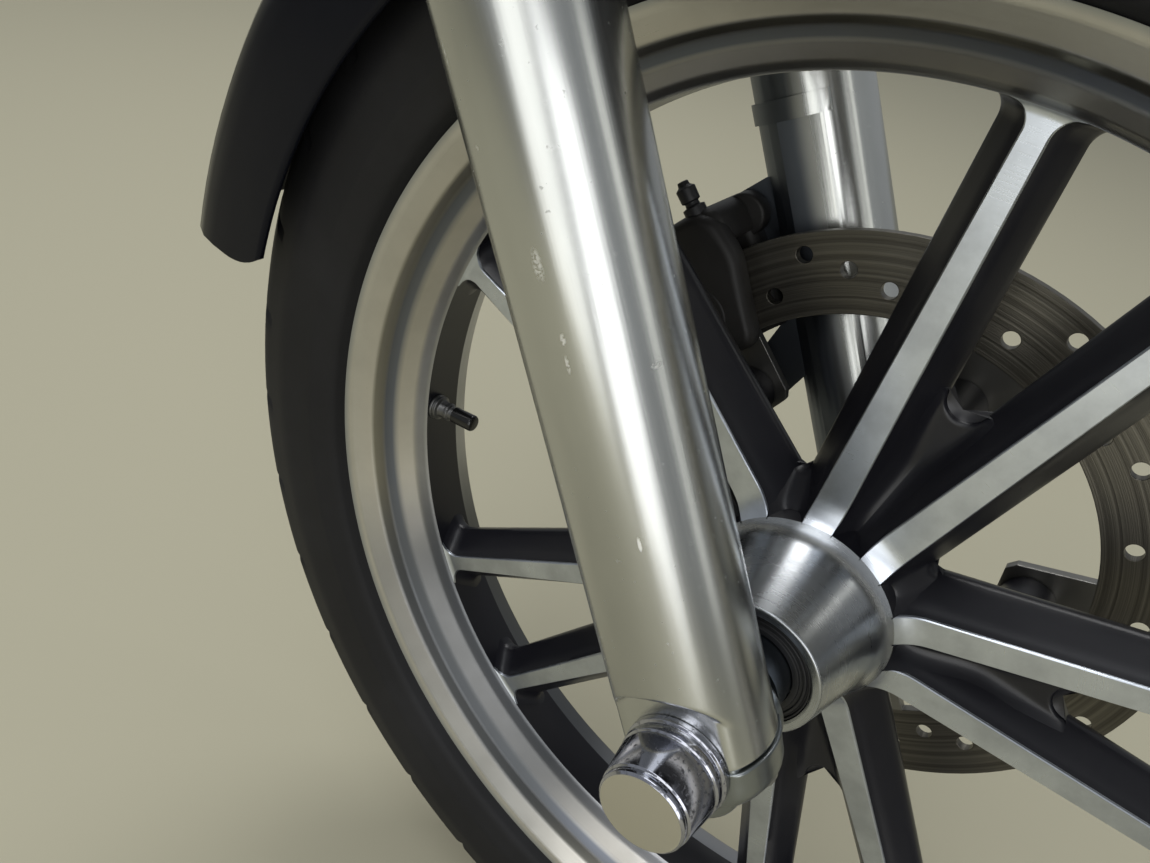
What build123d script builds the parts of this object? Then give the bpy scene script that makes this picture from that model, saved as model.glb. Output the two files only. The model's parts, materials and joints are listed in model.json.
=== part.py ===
from build123d import *
import math
import os

# Front fork and cast wheel of a cruiser motorcycle, in millimetres.
# X points forward, Y to the rider's left, Z up. The origin is on the steering
# axis, midway between the two head bearings.

# Steering geometry
rake = 30.0
yoke_offset = 58.0
leg_spacing = 214.2
head_length = 150.0
lower_yoke_start = 585.0
lower_yoke_height = 35.0
upper_yoke_height = 24.0
lower_head_gap = 2.0
upper_head_gap = 8.0

# Clearances
slip_gap = 0.2
face_gap = 0.1
running_gap = 0.05

# Rim and tyre
bead_seat_radius = 241.3
rim_width = 76.2
flange_height = 14.0
well_depth = 12.3
rim_depth = 18.3
rim_far_land = 19.1
window_edge_y = -6.2
tyre_height = 92.7
tyre_width = 100.0
tyre_wall = 6.0
tyre_bead_width = 10.0
tyre_bulge_height = 34.0
tyre_shoulder_drop = 22.0
tyre_shoulder_inset = 7.0

# Wheel disc and spokes
pair_count = 5
pair_first_angle = 77.0
web_back_y = 15.0
hub_base_radius = 44.0
hub_base_y = -14.5
hub_curve_radius = 19.5
hub_back_curve_radius = 8.0
spoke_root_offset = 6.5
spoke_splay = 0.1644
spoke_root_width = 14.0
spoke_tip_width = 8.9
gap_window_start = 60.0
gap_pocket_start = 45.0
gap_pocket_corner = 1.5
gap_valley_top_y = -11.0
gap_valley_floor_y = 6.0
gap_valley_length = 21.0
pair_window_start = 110.0
pair_pocket_start = 46.0
pair_pocket_corner = 3.0
pair_pocket_depth = 9.0
window_fillet = 9.0

# Hub and axle
hub_nose_radius = 31.0
hub_nose_y = -66.0
hub_far_radius = 33.0
hub_far_y = 58.0
seal_radius = 26.6
seal_depth = 6.0
bearing_radius = 26.0
bearing_width = 15.0
hub_core_radius = 19.5
axle_radius = 12.5
spacer_radius = 18.5

# Brake disc
disc_radius = 150.5
disc_band = 39.5
disc_near_y = 64.5
disc_thickness = 5.0
disc_bolt_circle = 86.0
disc_boss_radius = 13.0
disc_bolt_radius = 4.0
disc_bolt_head_radius = 7.5
disc_bolt_head_height = 3.4
disc_bolt_reach = 20.0
disc_hole_radius = 4.0
disc_hole_count = 42
disc_hole_first_angle = -59.5
disc_hole_inner_inset = 13.0
disc_hole_middle_inset = 21.0
disc_hole_outer_inset = 10.0
disc_lug_inner = 72.0
disc_lug_half_width = 16.0
disc_lug_root_half_width = 24.0

# Fork legs
slider_radius = 28.6
slider_top = 400.0
slider_collar_radius = 31.0
slider_collar_height = 26.0
slider_floor = 70.0
tube_radius = 24.5
tube_wall = 2.5
tube_start = 255.0
tube_proud = 2.0
seal_height = 12.0
boss_radius = 28.6
boss_reach = 18.9
cap_overhang = 1.4
cap_height = 13.0
split_gap = 1.0
rib_height = 1.8
rib_low = 201.0
rib_high = 211.0
rib_front = 16.0
facet_depth = 2.0
facet_low = 122.0

# Axle covers
cover_base_radius = 20.4
cover_tip_radius = 16.0
cover_length = 27.3
cover_wall = 2.4

# Yokes and stem
yoke_leg_wall = 9.5
yoke_stem_radius = 30.0
yoke_edge = 2.0
clamp_slit = 2.0
clamp_lug_length = 16.0
clamp_lug_width = 26.0
yoke_waist_radius = 58.0
stop_reach = 42.0
stop_length = 10.0
stop_width = 24.0
stop_height = 10.0
stem_radius = 14.0
stem_proud = 14.0
stem_nut_radius = 19.0
cup_radius = 26.0
cup_height = 15.0
cup_throat_radius = 18.0
cup_mouth_radius = 21.0
riser_spacing = 90.0
riser_place = -26.0
riser_bore_radius = 6.25

# Fender
fender_side_clearance = 17.0
fender_skirt_drop = 35.0
fender_shoulder_drop = 6.0
fender_crown_clearance = 20.0
fender_crown_rise = 5.0
fender_crown_inset = 10.0
fender_thickness = 2.0
fender_bead_radius = 2.5
fender_end_corner = 24.0
fender_rear_angle = 170.0
fender_front_angle = 62.0
bracket_thickness = 3.0
bracket_half_width = 22.0
bracket_corner = 8.0
bracket_drop = 37.0
bracket_rise = 6.0
bracket_low_bolt_inset = 13.0
bracket_high_bolt_inset = 16.0
fender_boss_radius = 11.0
bracket_hole_radius = 4.0

# Caliper
caliper_angle = 32.0
caliper_half_angle = 21.0
caliper_inner_reach = 5.0
caliper_bridge = 26.0
caliper_near_depth = 22.5
caliper_far_depth = 30.5
caliper_corner = 18.0
slot_clearance = 6.5
pad_space = 7.5
pad_gap = 0.4
pad_half_angle = 17.0
pad_corner = 6.0
piston_boss_radius = 16.0
piston_boss_height = 3.0
piston_angle = 9.0
ear_thickness = 10.0
ear_inset = 9.1
ear_radius = 11.0
ear_bolt_radius = 5.0
upper_ear_inset = 11.3
upper_ear_angle = 12.2
lower_ear_inset = 27.0
lower_ear_angle = 42.6
lug_foot_depth = 24.0
lug_foot_width = 8.0
lug_clearance = 2.0
leg_clearance = 3.0
nipple_angle = 17.0
nipple_y = 52.0

# Valve
valve_angle = -175.8
valve_base_radius = 7.0
valve_stem_radius = 3.9
valve_cap_radius = 4.6
valve_length = 27.0

rake_radians = math.radians(rake)
head_start = lower_yoke_start + lower_yoke_height + lower_head_gap
head_end = head_start + head_length
head_middle = head_start + head_length / 2
upper_yoke_start = head_end + upper_head_gap
upper_yoke_end = upper_yoke_start + upper_yoke_height
tube_top = upper_yoke_end + tube_proud
stem_top = upper_yoke_end + stem_proud
wheel_x = yoke_offset * math.cos(rake_radians) + head_middle * math.sin(rake_radians)
wheel_z = yoke_offset * math.sin(rake_radians) - head_middle * math.cos(rake_radians)
leg_y = leg_spacing / 2
boss_face = leg_y + boss_reach
half_rim = rim_width / 2
flange_radius = bead_seat_radius + flange_height
well_radius = bead_seat_radius - well_depth
window_radius = bead_seat_radius - rim_depth
tyre_radius = bead_seat_radius + tyre_height
disc_inner_radius = disc_radius - disc_band
disc_far_y = disc_near_y + disc_thickness
disc_hole_circles = (
    disc_inner_radius + disc_hole_inner_inset,
    disc_inner_radius + disc_hole_middle_inset,
    disc_radius - disc_hole_outer_inset,
)
face_slope = (window_edge_y - hub_base_y) / (window_radius - hub_base_radius)
fender_skirt_y = tyre_width / 2 + fender_side_clearance
fender_crown_y = tyre_width / 2 - fender_crown_inset
fender_skirt_radius = tyre_radius - fender_skirt_drop
fender_shoulder_radius = tyre_radius - fender_shoulder_drop
fender_crown_radius = tyre_radius + fender_crown_clearance
bracket_low = fender_skirt_radius - bracket_drop
bracket_high = fender_shoulder_radius + bracket_rise
bracket_bolts = (bracket_low + bracket_low_bolt_inset, bracket_high - bracket_high_bolt_inset)
caliper_inner_radius = disc_inner_radius - caliper_inner_reach
caliper_outer_radius = disc_radius + caliper_bridge
caliper_near_y = disc_near_y - caliper_near_depth
caliper_far_y = disc_far_y + caliper_far_depth
slot_near_y = disc_near_y - pad_space
slot_far_y = disc_far_y + pad_space
slot_top = disc_radius + slot_clearance
ear_near_y = disc_far_y + ear_inset
ear_far_y = ear_near_y + ear_thickness


def on_wheel(shape):
    """Place a shape drawn about the wheel centre."""
    return Location((wheel_x, 0, wheel_z)) * shape


def on_fork(shape):
    """Place a shape drawn with Z up the legs from the axle, X forward of them."""
    return Location((wheel_x, 0, wheel_z), (0, -rake, 0)) * shape


def turned(points):
    """Revolve an outline of (radius, y) points about the axle."""
    outline = make_face(Polyline(*points, close=True))
    return revolve(outline, Axis.Y, 360)


def turned_z(points, x=0.0, y=0.0):
    """Revolve an outline of (radius, z) points about an upright axis."""
    outline = Plane.XZ * make_face(Polyline(*points, close=True))
    return Location((x, y, 0)) * revolve(outline, Axis.Z, 360)


def rod_y(radius, start, end, x=0.0, z=0.0):
    """A cylinder along Y between two stations."""
    middle = (start + end) / 2
    return Location((x, middle, z), (90, 0, 0)) * Cylinder(radius, abs(end - start))


def plate_y(outline, start, end):
    """Extrude an outline drawn as (x, z) along Y between two stations."""
    face = Plane.XZ.offset(-start) * outline
    return extrude(face, amount=end - start, dir=(0, 1, 0))


def plate_z(outline, start, end):
    """Extrude an outline drawn as (x, y) along Z between two stations."""
    return extrude(Location((0, 0, start)) * outline, amount=end - start, dir=(0, 0, 1))


def about_axle(shape, angle):
    """Turn a shape about the axle, from +X towards +Z."""
    return Rotation(0, -angle, 0) * shape


def ring_sector(inner, outer, half_angle, corner):
    """Outline of a piece of a ring about the axle, with rounded corners."""
    reach = 2 * outer
    turn = math.radians(half_angle)
    far = (reach * math.cos(turn), reach * math.sin(turn))
    wedge = make_face(Polyline((0, 0), far, (far[0], -far[1]), close=True))
    outline = (Circle(outer) - Circle(inner)) & wedge
    return fillet(outline.vertices(), corner)


def arc_points(start, middle, end, count):
    """Even points along an arc, with both ends."""
    arc = ThreePointArc(start, middle, end)
    return [((arc @ (step / count)).X, (arc @ (step / count)).Y) for step in range(count + 1)]


def pair_angles():
    return [pair_first_angle + 360.0 / pair_count * step for step in range(pair_count)]


def spoke_edge(along, side):
    """Sideways place of a spoke's inner (-1) or outer (+1) edge at a radius along its pair."""
    share = (along - hub_base_radius) / (window_radius - hub_base_radius)
    width = spoke_root_width + (spoke_tip_width - spoke_root_width) * share
    return spoke_root_offset + spoke_splay * along + side * width / 2


def pair_sector(start):
    """Outline between the two spokes of a pair, from a radius out to the window edge."""
    past = 1.1 * window_radius
    low = spoke_edge(start, -1)
    high = spoke_edge(past, -1)
    corners = [(start, -low), (past, -high), (past, high), (start, low)]
    return make_face(Polyline(*corners, close=True)) & Circle(window_radius)


def gap_sector(start):
    """Outline between the neighbouring spokes of two pairs, out to the window edge."""
    half = math.pi / pair_count
    narrowest = 0.02 * hub_base_radius
    edge = []
    for along in (hub_base_radius / 2, window_radius):
        across = spoke_edge(along, 1)
        turn = math.cos(half) * along + math.sin(half) * across
        lift = -math.sin(half) * along + math.cos(half) * across
        edge.append((turn, lift))
    (x0, z0), (x1, z1) = edge
    slope = (z1 - z0) / (x1 - x0)
    past = 1.1 * window_radius
    lift = z0 + slope * (start - x0)
    far = z0 + slope * (past - x0)
    if lift > -narrowest:
        start = x0 + (-narrowest - z0) / slope
        lift = -narrowest
    corners = [(start, lift), (past, far), (past, -far), (start, -lift)]
    return make_face(Polyline(*corners, close=True)) & Circle(window_radius)


def rounded_prism(outline, radius):
    """A corner-rounded cutter right through the wheel disc."""
    return plate_y(fillet(outline.vertices(), radius), hub_nose_y, hub_far_y)


def gap_pocket():
    """Valley between two pairs: from the hub its floor runs down to the window."""
    first = gap_pocket_start - 3
    last = gap_pocket_start + gap_valley_length
    past = gap_window_start + 2 * window_fillet
    above_floor = turned([
        (first, hub_nose_y), (first, gap_valley_top_y), (gap_pocket_start, gap_valley_top_y),
        (last, gap_valley_floor_y), (past, gap_valley_floor_y), (past, hub_nose_y),
    ])
    return rounded_prism(gap_sector(gap_pocket_start), gap_pocket_corner) & above_floor


def pair_pocket():
    """Sunk web between the two spokes of a pair, an even depth below their faces."""
    first = pair_pocket_start - 3
    past = pair_window_start + 2 * window_fillet
    depths = [hub_base_y + pair_pocket_depth + face_slope * (at - hub_base_radius) for at in (first, past)]
    above_floor = turned([
        (first, hub_nose_y), (first, depths[0]), (past, depths[1]), (past, hub_nose_y),
    ])
    return rounded_prism(pair_sector(pair_pocket_start), pair_pocket_corner) & above_floor


def hub_and_web():
    """Hub and solid wheel disc in one turned shape, with a curve where its cone meets the faces."""
    bearing_seat = bearing_radius + slip_gap / 2
    seal_floor = hub_nose_y + seal_depth
    far_floor = hub_far_y - seal_depth
    into_rim = window_radius + 3.0
    section = make_face(Polyline(
        (hub_core_radius, seal_floor + bearing_width), (bearing_seat, seal_floor + bearing_width),
        (bearing_seat, seal_floor), (seal_radius, seal_floor), (seal_radius, hub_nose_y),
        (hub_nose_radius, hub_nose_y), (hub_base_radius, hub_base_y),
        (into_rim, window_edge_y + face_slope * (into_rim - window_radius)), (into_rim, web_back_y),
        (hub_base_radius + 3, web_back_y), (hub_far_radius, hub_far_y), (seal_radius, hub_far_y),
        (seal_radius, far_floor), (bearing_seat, far_floor), (bearing_seat, far_floor - bearing_width),
        (hub_core_radius, far_floor - bearing_width), close=True,
    ))
    for place, radius in (((hub_base_radius, hub_base_y, 0), hub_curve_radius),
                          ((hub_base_radius + 3, web_back_y, 0), hub_back_curve_radius)):
        corner = section.vertices().sort_by_distance(place)[0]
        section = fillet(corner, radius)
    return revolve(section, Axis.Y, 360)


def rim():
    """Rim with a stepped polished near side, a plain barrel and a drop centre."""
    # Columns: how far down from the flange, how far in from the rim's edge
    near_steps = ((0, 0), (4, 0), (8, 5), (14, 8), (17, 14), (25, 18), (29, 25))
    far_steps = ((27, 13), (17, 8), (8, 3), (4, 0), (0, 0))
    return turned([
        *[(flange_radius - down, inward - half_rim) for down, inward in near_steps],
        (window_radius, window_edge_y),
        (window_radius, half_rim - rim_far_land),
        *[(flange_radius - down, half_rim - inward) for down, inward in far_steps],
        (flange_radius, half_rim - 3),
        (bead_seat_radius, half_rim - 7),
        (bead_seat_radius - 1, half_rim - 16),
        (well_radius, half_rim - 26),
        (well_radius, -half_rim + 26),
        (bead_seat_radius - 1, -half_rim + 16),
        (bead_seat_radius, -half_rim + 7),
        (flange_radius, -half_rim + 3),
    ])


def cast_wheel():
    """Rim, hub and five split spoke pairs in one casting."""
    cuts = []
    bosses = []
    holes = []
    boss = rod_y(disc_boss_radius, web_back_y - 5, disc_near_y, disc_bolt_circle)
    hole = rod_y(disc_bolt_radius + slip_gap, disc_near_y - disc_bolt_reach - 2, disc_near_y + 1,
                 disc_bolt_circle)
    gap_window = rounded_prism(gap_sector(gap_window_start), window_fillet)
    pair_window = rounded_prism(pair_sector(pair_window_start), window_fillet)
    for angle in pair_angles():
        gap_angle = angle + 180.0 / pair_count
        cuts.append(about_axle(gap_window, gap_angle))
        cuts.append(about_axle(gap_pocket(), gap_angle))
        cuts.append(about_axle(pair_window, angle))
        cuts.append(about_axle(pair_pocket(), angle))
        bosses.append(about_axle(boss, angle))
        holes.append(about_axle(hole, angle))
    valve_hole = Location((-window_radius, 0, 0), (0, 90, 0)) * Cylinder(
        valve_stem_radius + slip_gap, 2 * (flange_radius - window_radius))
    holes.append(about_axle(valve_hole, valve_angle + 180))
    disc = hub_and_web() - cuts
    return on_wheel(disc + [rim()] + bosses - holes)


def tyre():
    """Road tyre, an open hollow ring seated on the bead seats, in flat bands."""
    half = tyre_width / 2
    bead = bead_seat_radius + slip_gap
    seat = half_rim - 7 - slip_gap
    shoulder = tyre_radius - tyre_shoulder_drop
    shoulder_y = tyre_shoulder_inset - half
    crown = arc_points((shoulder, shoulder_y), (tyre_radius, 0), (shoulder, -shoulder_y), 4)
    outer_half = [(bead, -seat), (flange_radius + 1, 2.8 - half_rim),
                  (bead_seat_radius + tyre_bulge_height, -half)] + crown[:3]
    inner_half = [(bead, tyre_bead_width - seat), (shoulder - tyre_wall, shoulder_y + tyre_wall)]
    outer = outer_half + [(radius, -y) for radius, y in reversed(outer_half[:-1])]
    inner = inner_half + [(radius, -y) for radius, y in reversed(inner_half)]
    return on_wheel(turned(outer + inner[::-1]))


def valve():
    """Tyre valve: base nut on the rim, stem and cap, pointing at the hub."""
    nut_height = 4.0
    cap_height = 13.0
    below = 12.0
    stem = turned_z([
        (0, -below), (valve_stem_radius, -below), (valve_stem_radius, face_gap),
        (valve_base_radius, face_gap), (valve_base_radius, nut_height),
        (valve_stem_radius, nut_height + 1), (valve_stem_radius, valve_length - cap_height),
        (valve_cap_radius, valve_length - cap_height), (valve_cap_radius, valve_length - 1),
        (valve_cap_radius - 1, valve_length), (0, valve_length),
    ])
    inward = Location((window_radius - face_gap, 0, 0), (0, -90, 0)) * stem
    return on_wheel(about_axle(inward, valve_angle))


def brake_disc():
    """Drilled disc with five inner lugs."""
    ring = plate_y(Circle(disc_radius) - Circle(disc_inner_radius), disc_near_y, disc_far_y)
    lug = make_face(Polyline(
        (disc_inner_radius + 2, -disc_lug_root_half_width),
        (disc_lug_inner + 4, -disc_lug_half_width),
        (disc_lug_inner, -disc_lug_half_width + 4),
        (disc_lug_inner, disc_lug_half_width - 4),
        (disc_lug_inner + 4, disc_lug_half_width),
        (disc_inner_radius + 2, disc_lug_root_half_width),
        close=True,
    ))
    bolt_hole = rod_y(disc_bolt_radius + slip_gap, disc_near_y - 1, disc_far_y + 1, disc_bolt_circle)
    lugs = [about_axle(plate_y(lug, disc_near_y, disc_far_y), angle) for angle in pair_angles()]
    holes = [about_axle(bolt_hole, angle) for angle in pair_angles()]
    # The drilled holes repeat in sixes over three circles: 0 inner, 1 middle, 2 outer.
    pattern = (1, 0, 1, 2, 0, 2)
    for step in range(disc_hole_count):
        circle = disc_hole_circles[pattern[step % len(pattern)]]
        hole = rod_y(disc_hole_radius, disc_near_y - 1, disc_far_y + 1, circle)
        holes.append(about_axle(hole, disc_hole_first_angle + 360.0 / disc_hole_count * step))
    return on_wheel(ring + lugs - holes)


def disc_bolts():
    """Five low-headed bolts that hold the disc to the wheel's bosses."""
    bolts = []
    seat = disc_far_y + face_gap
    for angle in pair_angles():
        head = rod_y(disc_bolt_head_radius, seat, seat + disc_bolt_head_height, disc_bolt_circle)
        shank = rod_y(disc_bolt_radius, disc_near_y - disc_bolt_reach, seat, disc_bolt_circle)
        bolts.append(on_wheel(about_axle(head + shank, angle)))
    return bolts


def bearing(near, far):
    return on_wheel(turned([
        (axle_radius + running_gap, near), (bearing_radius, near),
        (bearing_radius, far), (axle_radius + running_gap, far),
    ]))


def hub_seal(near, far):
    """Lipped rubber ring between the hub and a spacer."""
    bore = spacer_radius + 2 * slip_gap
    outer = seal_radius - slip_gap
    lip = (bore + outer) / 2
    middle = (near + far) / 2
    return on_wheel(turned([
        (bore, near), (lip, near), (lip + 1, middle), (outer - 1, middle),
        (outer, near), (outer, far), (bore, far),
    ]))


def axle():
    """Through axle with a head at the right and a threaded end at the left."""
    end = boss_face + 16
    shaft = rod_y(axle_radius, -boss_face, end)
    shaft += rod_y(cover_tip_radius - cover_wall - 1.5, -end, -boss_face)
    return on_wheel(shaft)


def axle_nut():
    start = boss_face + face_gap
    return on_wheel(turned([
        (axle_radius + slip_gap, start), (cover_tip_radius - cover_wall, start),
        (cover_tip_radius - cover_wall, start + 12), (axle_radius + slip_gap, start + 12),
    ]))


def axle_cover(side):
    """Tapered cover over the axle end, with ring grooves and a flat end."""
    base = boss_face + face_gap
    end = base + cover_length
    bore = cover_tip_radius - cover_wall + 0.2
    # Columns: how far the outline lies outside the tip's radius, distance from the base
    rings = (
        (cover_base_radius - cover_tip_radius, 0.0), (cover_base_radius - cover_tip_radius, 2.6),
        (3.2, 3.2), (3.2, 4.4), (4.0, 5.0), (3.7, 7.4), (2.9, 7.9), (2.9, 8.7), (3.3, 9.2),
        (1.4, cover_length - 4.6), (0.8, cover_length - 4.0), (0.8, cover_length - 2.6),
        (0.0, cover_length - 1.0), (-1.0, cover_length),
    )
    points = [(cover_tip_radius + out, base + along) for out, along in rings]
    points += [(0, end), (0, end - cover_wall), (bore, end - cover_wall), (bore, base + 1)]
    points += [(cover_base_radius - cover_wall, base)]
    return on_wheel(turned([(radius, side * place) for radius, place in points]))


def spacer(near, far):
    return on_wheel(turned([
        (axle_radius + slip_gap, near), (spacer_radius, near),
        (spacer_radius, far), (axle_radius + slip_gap, far),
    ]))


def spot_face(side):
    """Flat seat for an axle cover, sunk square into the leg's round front."""
    return rod_y(boss_radius + 2 * slip_gap, side * boss_face, side * (leg_y + 2 * slider_radius))


def slider_blank(side):
    """Lower fork leg with its bore, collar and axle boss, before the lugs."""
    y = side * leg_y
    bore = tube_radius + slip_gap
    collar_start = slider_top - slider_collar_height
    leg = turned_z([
        (0, 0), (slider_radius, 0), (slider_radius, collar_start - 6),
        (slider_collar_radius, collar_start), (slider_collar_radius, slider_top - 2),
        (slider_collar_radius - 2, slider_top), (bore, slider_top), (bore, slider_floor), (0, slider_floor),
    ], 0, y)
    leg -= spot_face(side)
    above_axle = Location((0, y, slider_top / 2)) * Box(4 * slider_radius, 4 * slider_radius, slider_top)
    leg += rod_y(boss_radius - 1, side * (leg_y - slider_radius), side * (leg_y - 5)) & above_axle
    seat = fender_skirt_y + bracket_thickness + 2 * face_gap
    for height in bracket_bolts:
        boss = rod_y(fender_boss_radius, side * seat, side * (leg_y - slider_radius + 4), 0, height)
        hole = rod_y(bracket_hole_radius, side * seat, side * (seat + 10), 0, height)
        leg = leg + boss - hole
    return leg


def ear_places():
    """Centres of the caliper's upper and lower bolts as (height, back) from the axle."""
    polar = ((caliper_outer_radius - upper_ear_inset, upper_ear_angle),
             (disc_inner_radius - lower_ear_inset, lower_ear_angle))
    return [(radius * math.cos(math.radians(turn)), -radius * math.sin(math.radians(turn)))
            for radius, turn in polar]


def lug_outline(place, margin, rise, foot_height, foot_depth):
    """Flat outline of a lug: round about its bolt, tapering from a foot set by its rise."""
    height, back = place
    tip = Location((back, height)) * Circle(ear_radius + margin)
    middle = height + rise + foot_height / 2
    foot = Location((foot_depth + lug_foot_width / 2, middle)) * Rectangle(lug_foot_width,
                                                                           foot_height + 2 * margin)
    return make_hull((tip + foot).edges())


def leg_lugs(start, end, margin):
    """The left leg's two caliper lugs, or with a margin the room that they need."""
    upper, lower = ear_places()
    # Columns: bolt place, rise of the foot's lower edge above it, foot height
    lugs = ((upper, -18.0, 33.0), (lower, 16.0, 30.0))
    return [plate_y(lug_outline(place, margin, rise, foot, -lug_foot_depth), start, end)
            for place, rise, foot in lugs]


def bolt_holes(start, end):
    return [rod_y(ear_bolt_radius + slip_gap, start, end, back, height) for height, back in ear_places()]


def slider_right():
    leg = slider_blank(-1)
    leg -= rod_y(axle_radius + slip_gap, -leg_y - 2 * slider_radius, -leg_y + 2 * slider_radius)
    return on_fork(leg)


def axle_clamp():
    """Cap under the right axle end: a round foot under the leg over a half ring about the axle."""
    top = -split_gap
    foot = turned_z([
        (0, top), (slider_radius + cap_overhang, top), (slider_radius + cap_overhang, 1 - cap_height),
        (slider_radius + cap_overhang - 1, -cap_height), (0, -cap_height),
    ], 0, -leg_y)
    ring = rod_y(boss_radius, -boss_face, -leg_y + slider_radius - 4)
    above = Location((0, -leg_y, boss_radius + top)) * Box(4 * boss_radius, 4 * boss_radius, 2 * boss_radius)
    bore = rod_y(axle_radius + slip_gap, -leg_y - 2 * slider_radius, -leg_y + 2 * slider_radius)
    spacer_room = rod_y(spacer_radius + 1, slider_radius - leg_y, 2 * slider_radius - leg_y)
    return on_fork((ring - above) + foot - [spot_face(-1), bore, spacer_room])


def raised_rib():
    """Raised band round the left leg's inner side, above a flat."""
    radius = slider_radius + rib_height
    middle = (rib_low + rib_high) / 2
    band = Location((0, leg_y, middle)) * Cylinder(radius, rib_high - rib_low)
    reach = 2 * radius
    inner_side = Location((rib_front - reach / 2, leg_y - reach / 2, middle)) * Box(reach, reach, reach)
    core = Location((0, leg_y, middle)) * Cylinder(tube_radius + 2, reach)
    return (band & inner_side) - core


def leg_flat():
    """Flat facet down the left leg's inner side, under the rib."""
    face = leg_y - slider_radius + facet_depth
    deep = facet_depth + 4
    middle = (facet_low + rib_low) / 2
    return Location((0, face - deep / 2, middle)) * Box(2 * slider_radius, deep, rib_low - facet_low)


def slider_left():
    leg = slider_blank(1)
    leg += rod_y(boss_radius, leg_y - slider_radius, boss_face)
    leg = leg - leg_flat() + raised_rib()
    near = ear_far_y + face_gap
    leg = leg + leg_lugs(near, near + ear_thickness, 0.0)
    bore = Location((0, leg_y, (slider_floor + slider_top) / 2)) * Cylinder(
        tube_radius + slip_gap, slider_top - slider_floor)
    axle_bore = rod_y(axle_radius + slip_gap, leg_y - 2 * slider_radius, leg_y + 2 * slider_radius)
    leg = leg - ([bore, axle_bore] + bolt_holes(near - 1, near + ear_thickness + 1))
    return on_fork(leg)


def fork_tube(side):
    wall = tube_radius - tube_wall
    return on_fork(turned_z([
        (wall, tube_start), (tube_radius, tube_start), (tube_radius, tube_top), (wall, tube_top),
    ], 0, side * leg_y))


def dust_seal(side):
    start = slider_top + face_gap
    inner = tube_radius + slip_gap
    outer = slider_collar_radius - 0.5
    return on_fork(turned_z([
        (inner, start), (outer, start), (outer, start + 5), (outer - 2, start + 7),
        (inner + 1.5, start + seal_height), (inner, start + seal_height),
    ], 0, side * leg_y))


def fork_cap(side):
    start = tube_top + face_gap
    wall = tube_radius - tube_wall - slip_gap
    cap = turned_z([
        (0, start - 14), (wall, start - 14), (wall, start), (tube_radius, start),
        (tube_radius, start + 3), (tube_radius - 2, start + 5), (0, start + 5),
    ], 0, side * leg_y)
    hexagon = Location((0, side * leg_y)) * RegularPolygon(tube_radius * 0.65, 6)
    return on_fork(cap + plate_z(hexagon, start + 4, start + 11))


def yoke(start, height, stem_hole, tongue):
    """Clamp plate that joins both legs and the steering stem, slit behind each leg."""
    leg_outer = tube_radius + yoke_leg_wall
    stem = Location((-yoke_offset, 0)) * Circle(yoke_stem_radius)
    circles = stem
    lugs = []
    cuts = []
    middle = start + height / 2
    for side in (-1, 1):
        y = side * leg_y
        circles = circles + Location((0, y)) * Circle(leg_outer)
        lug_middle = -leg_outer - clamp_lug_length / 2 + 6
        lugs.append(Location((lug_middle, y)) * RectangleRounded(clamp_lug_length, clamp_lug_width, 4))
        cuts.append(Location((0, y, middle)) * Cylinder(tube_radius + slip_gap, 2 * height))
        slit_end = leg_outer + clamp_lug_length
        cuts.append(Location((-slit_end / 2, y, middle)) * Box(slit_end, clamp_slit, 2 * height))
    outline = make_hull(circles.edges())
    waist = Location((leg_outer + yoke_waist_radius - 24, 0)) * Circle(yoke_waist_radius)
    outline = outline - waist + lugs
    if tongue:
        outline += Location((-yoke_offset - stop_reach / 2, 0)) * Rectangle(stop_reach, stop_width)
    plate = plate_z(outline, start, start + height)
    top = plate.faces().sort_by(Axis.Z)[-1]
    plate = chamfer(top.outer_wire().edges(), yoke_edge)
    cuts.append(Location((-yoke_offset, 0, middle)) * Cylinder(stem_hole, 2 * height))
    return plate - cuts


def lower_yoke():
    """Lower clamp plate, with a steering stop on a tongue behind the stem."""
    plate = yoke(lower_yoke_start, lower_yoke_height, stem_radius + slip_gap, True)
    top = lower_yoke_start + lower_yoke_height
    middle = -yoke_offset - stop_reach + yoke_edge + stop_length / 2
    stop = Location((middle, 0, top + stop_height / 2 - 3)) * Box(stop_length, stop_width - 2 * yoke_edge,
                                                                  stop_height + 6)
    return on_fork(plate + stop)


def upper_yoke():
    """Upper clamp plate, with the two bores for handlebar risers."""
    plate = yoke(upper_yoke_start, upper_yoke_height, stem_radius - 1 + slip_gap, False)
    middle = upper_yoke_start + upper_yoke_height / 2
    holes = []
    for side in (-1, 1):
        hole = Cylinder(riser_bore_radius, upper_yoke_height + 2)
        holes.append(Location((riser_place, side * riser_spacing / 2, middle)) * hole)
    return on_fork(plate - holes)


def steering_stem():
    shoulder = upper_yoke_start - face_gap
    return on_fork(turned_z([
        (0, lower_yoke_start), (stem_radius, lower_yoke_start), (stem_radius, shoulder),
        (stem_radius - 1, shoulder), (stem_radius - 1, stem_top), (0, stem_top),
    ], -yoke_offset, 0))


def stem_nut():
    start = upper_yoke_end + face_gap
    washer = Location((-yoke_offset, 0)) * Circle(stem_nut_radius + 3)
    hexagon = Location((-yoke_offset, 0)) * RegularPolygon(stem_nut_radius, 6)
    nut = plate_z(washer, start, start + 2) + plate_z(hexagon, start + 2, start + 12)
    hole = Location((-yoke_offset, 0, start + 6)) * Cylinder(stem_radius - 1 + slip_gap, 30)
    return on_fork(nut - hole)


def head_cup(start, up):
    """Outer race of a head bearing, pressed into the frame's head tube."""
    end = start + up * cup_height
    return on_fork(turned_z([
        (cup_mouth_radius, start), (cup_radius, start), (cup_radius, end), (cup_throat_radius, end),
    ], -yoke_offset, 0))


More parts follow.
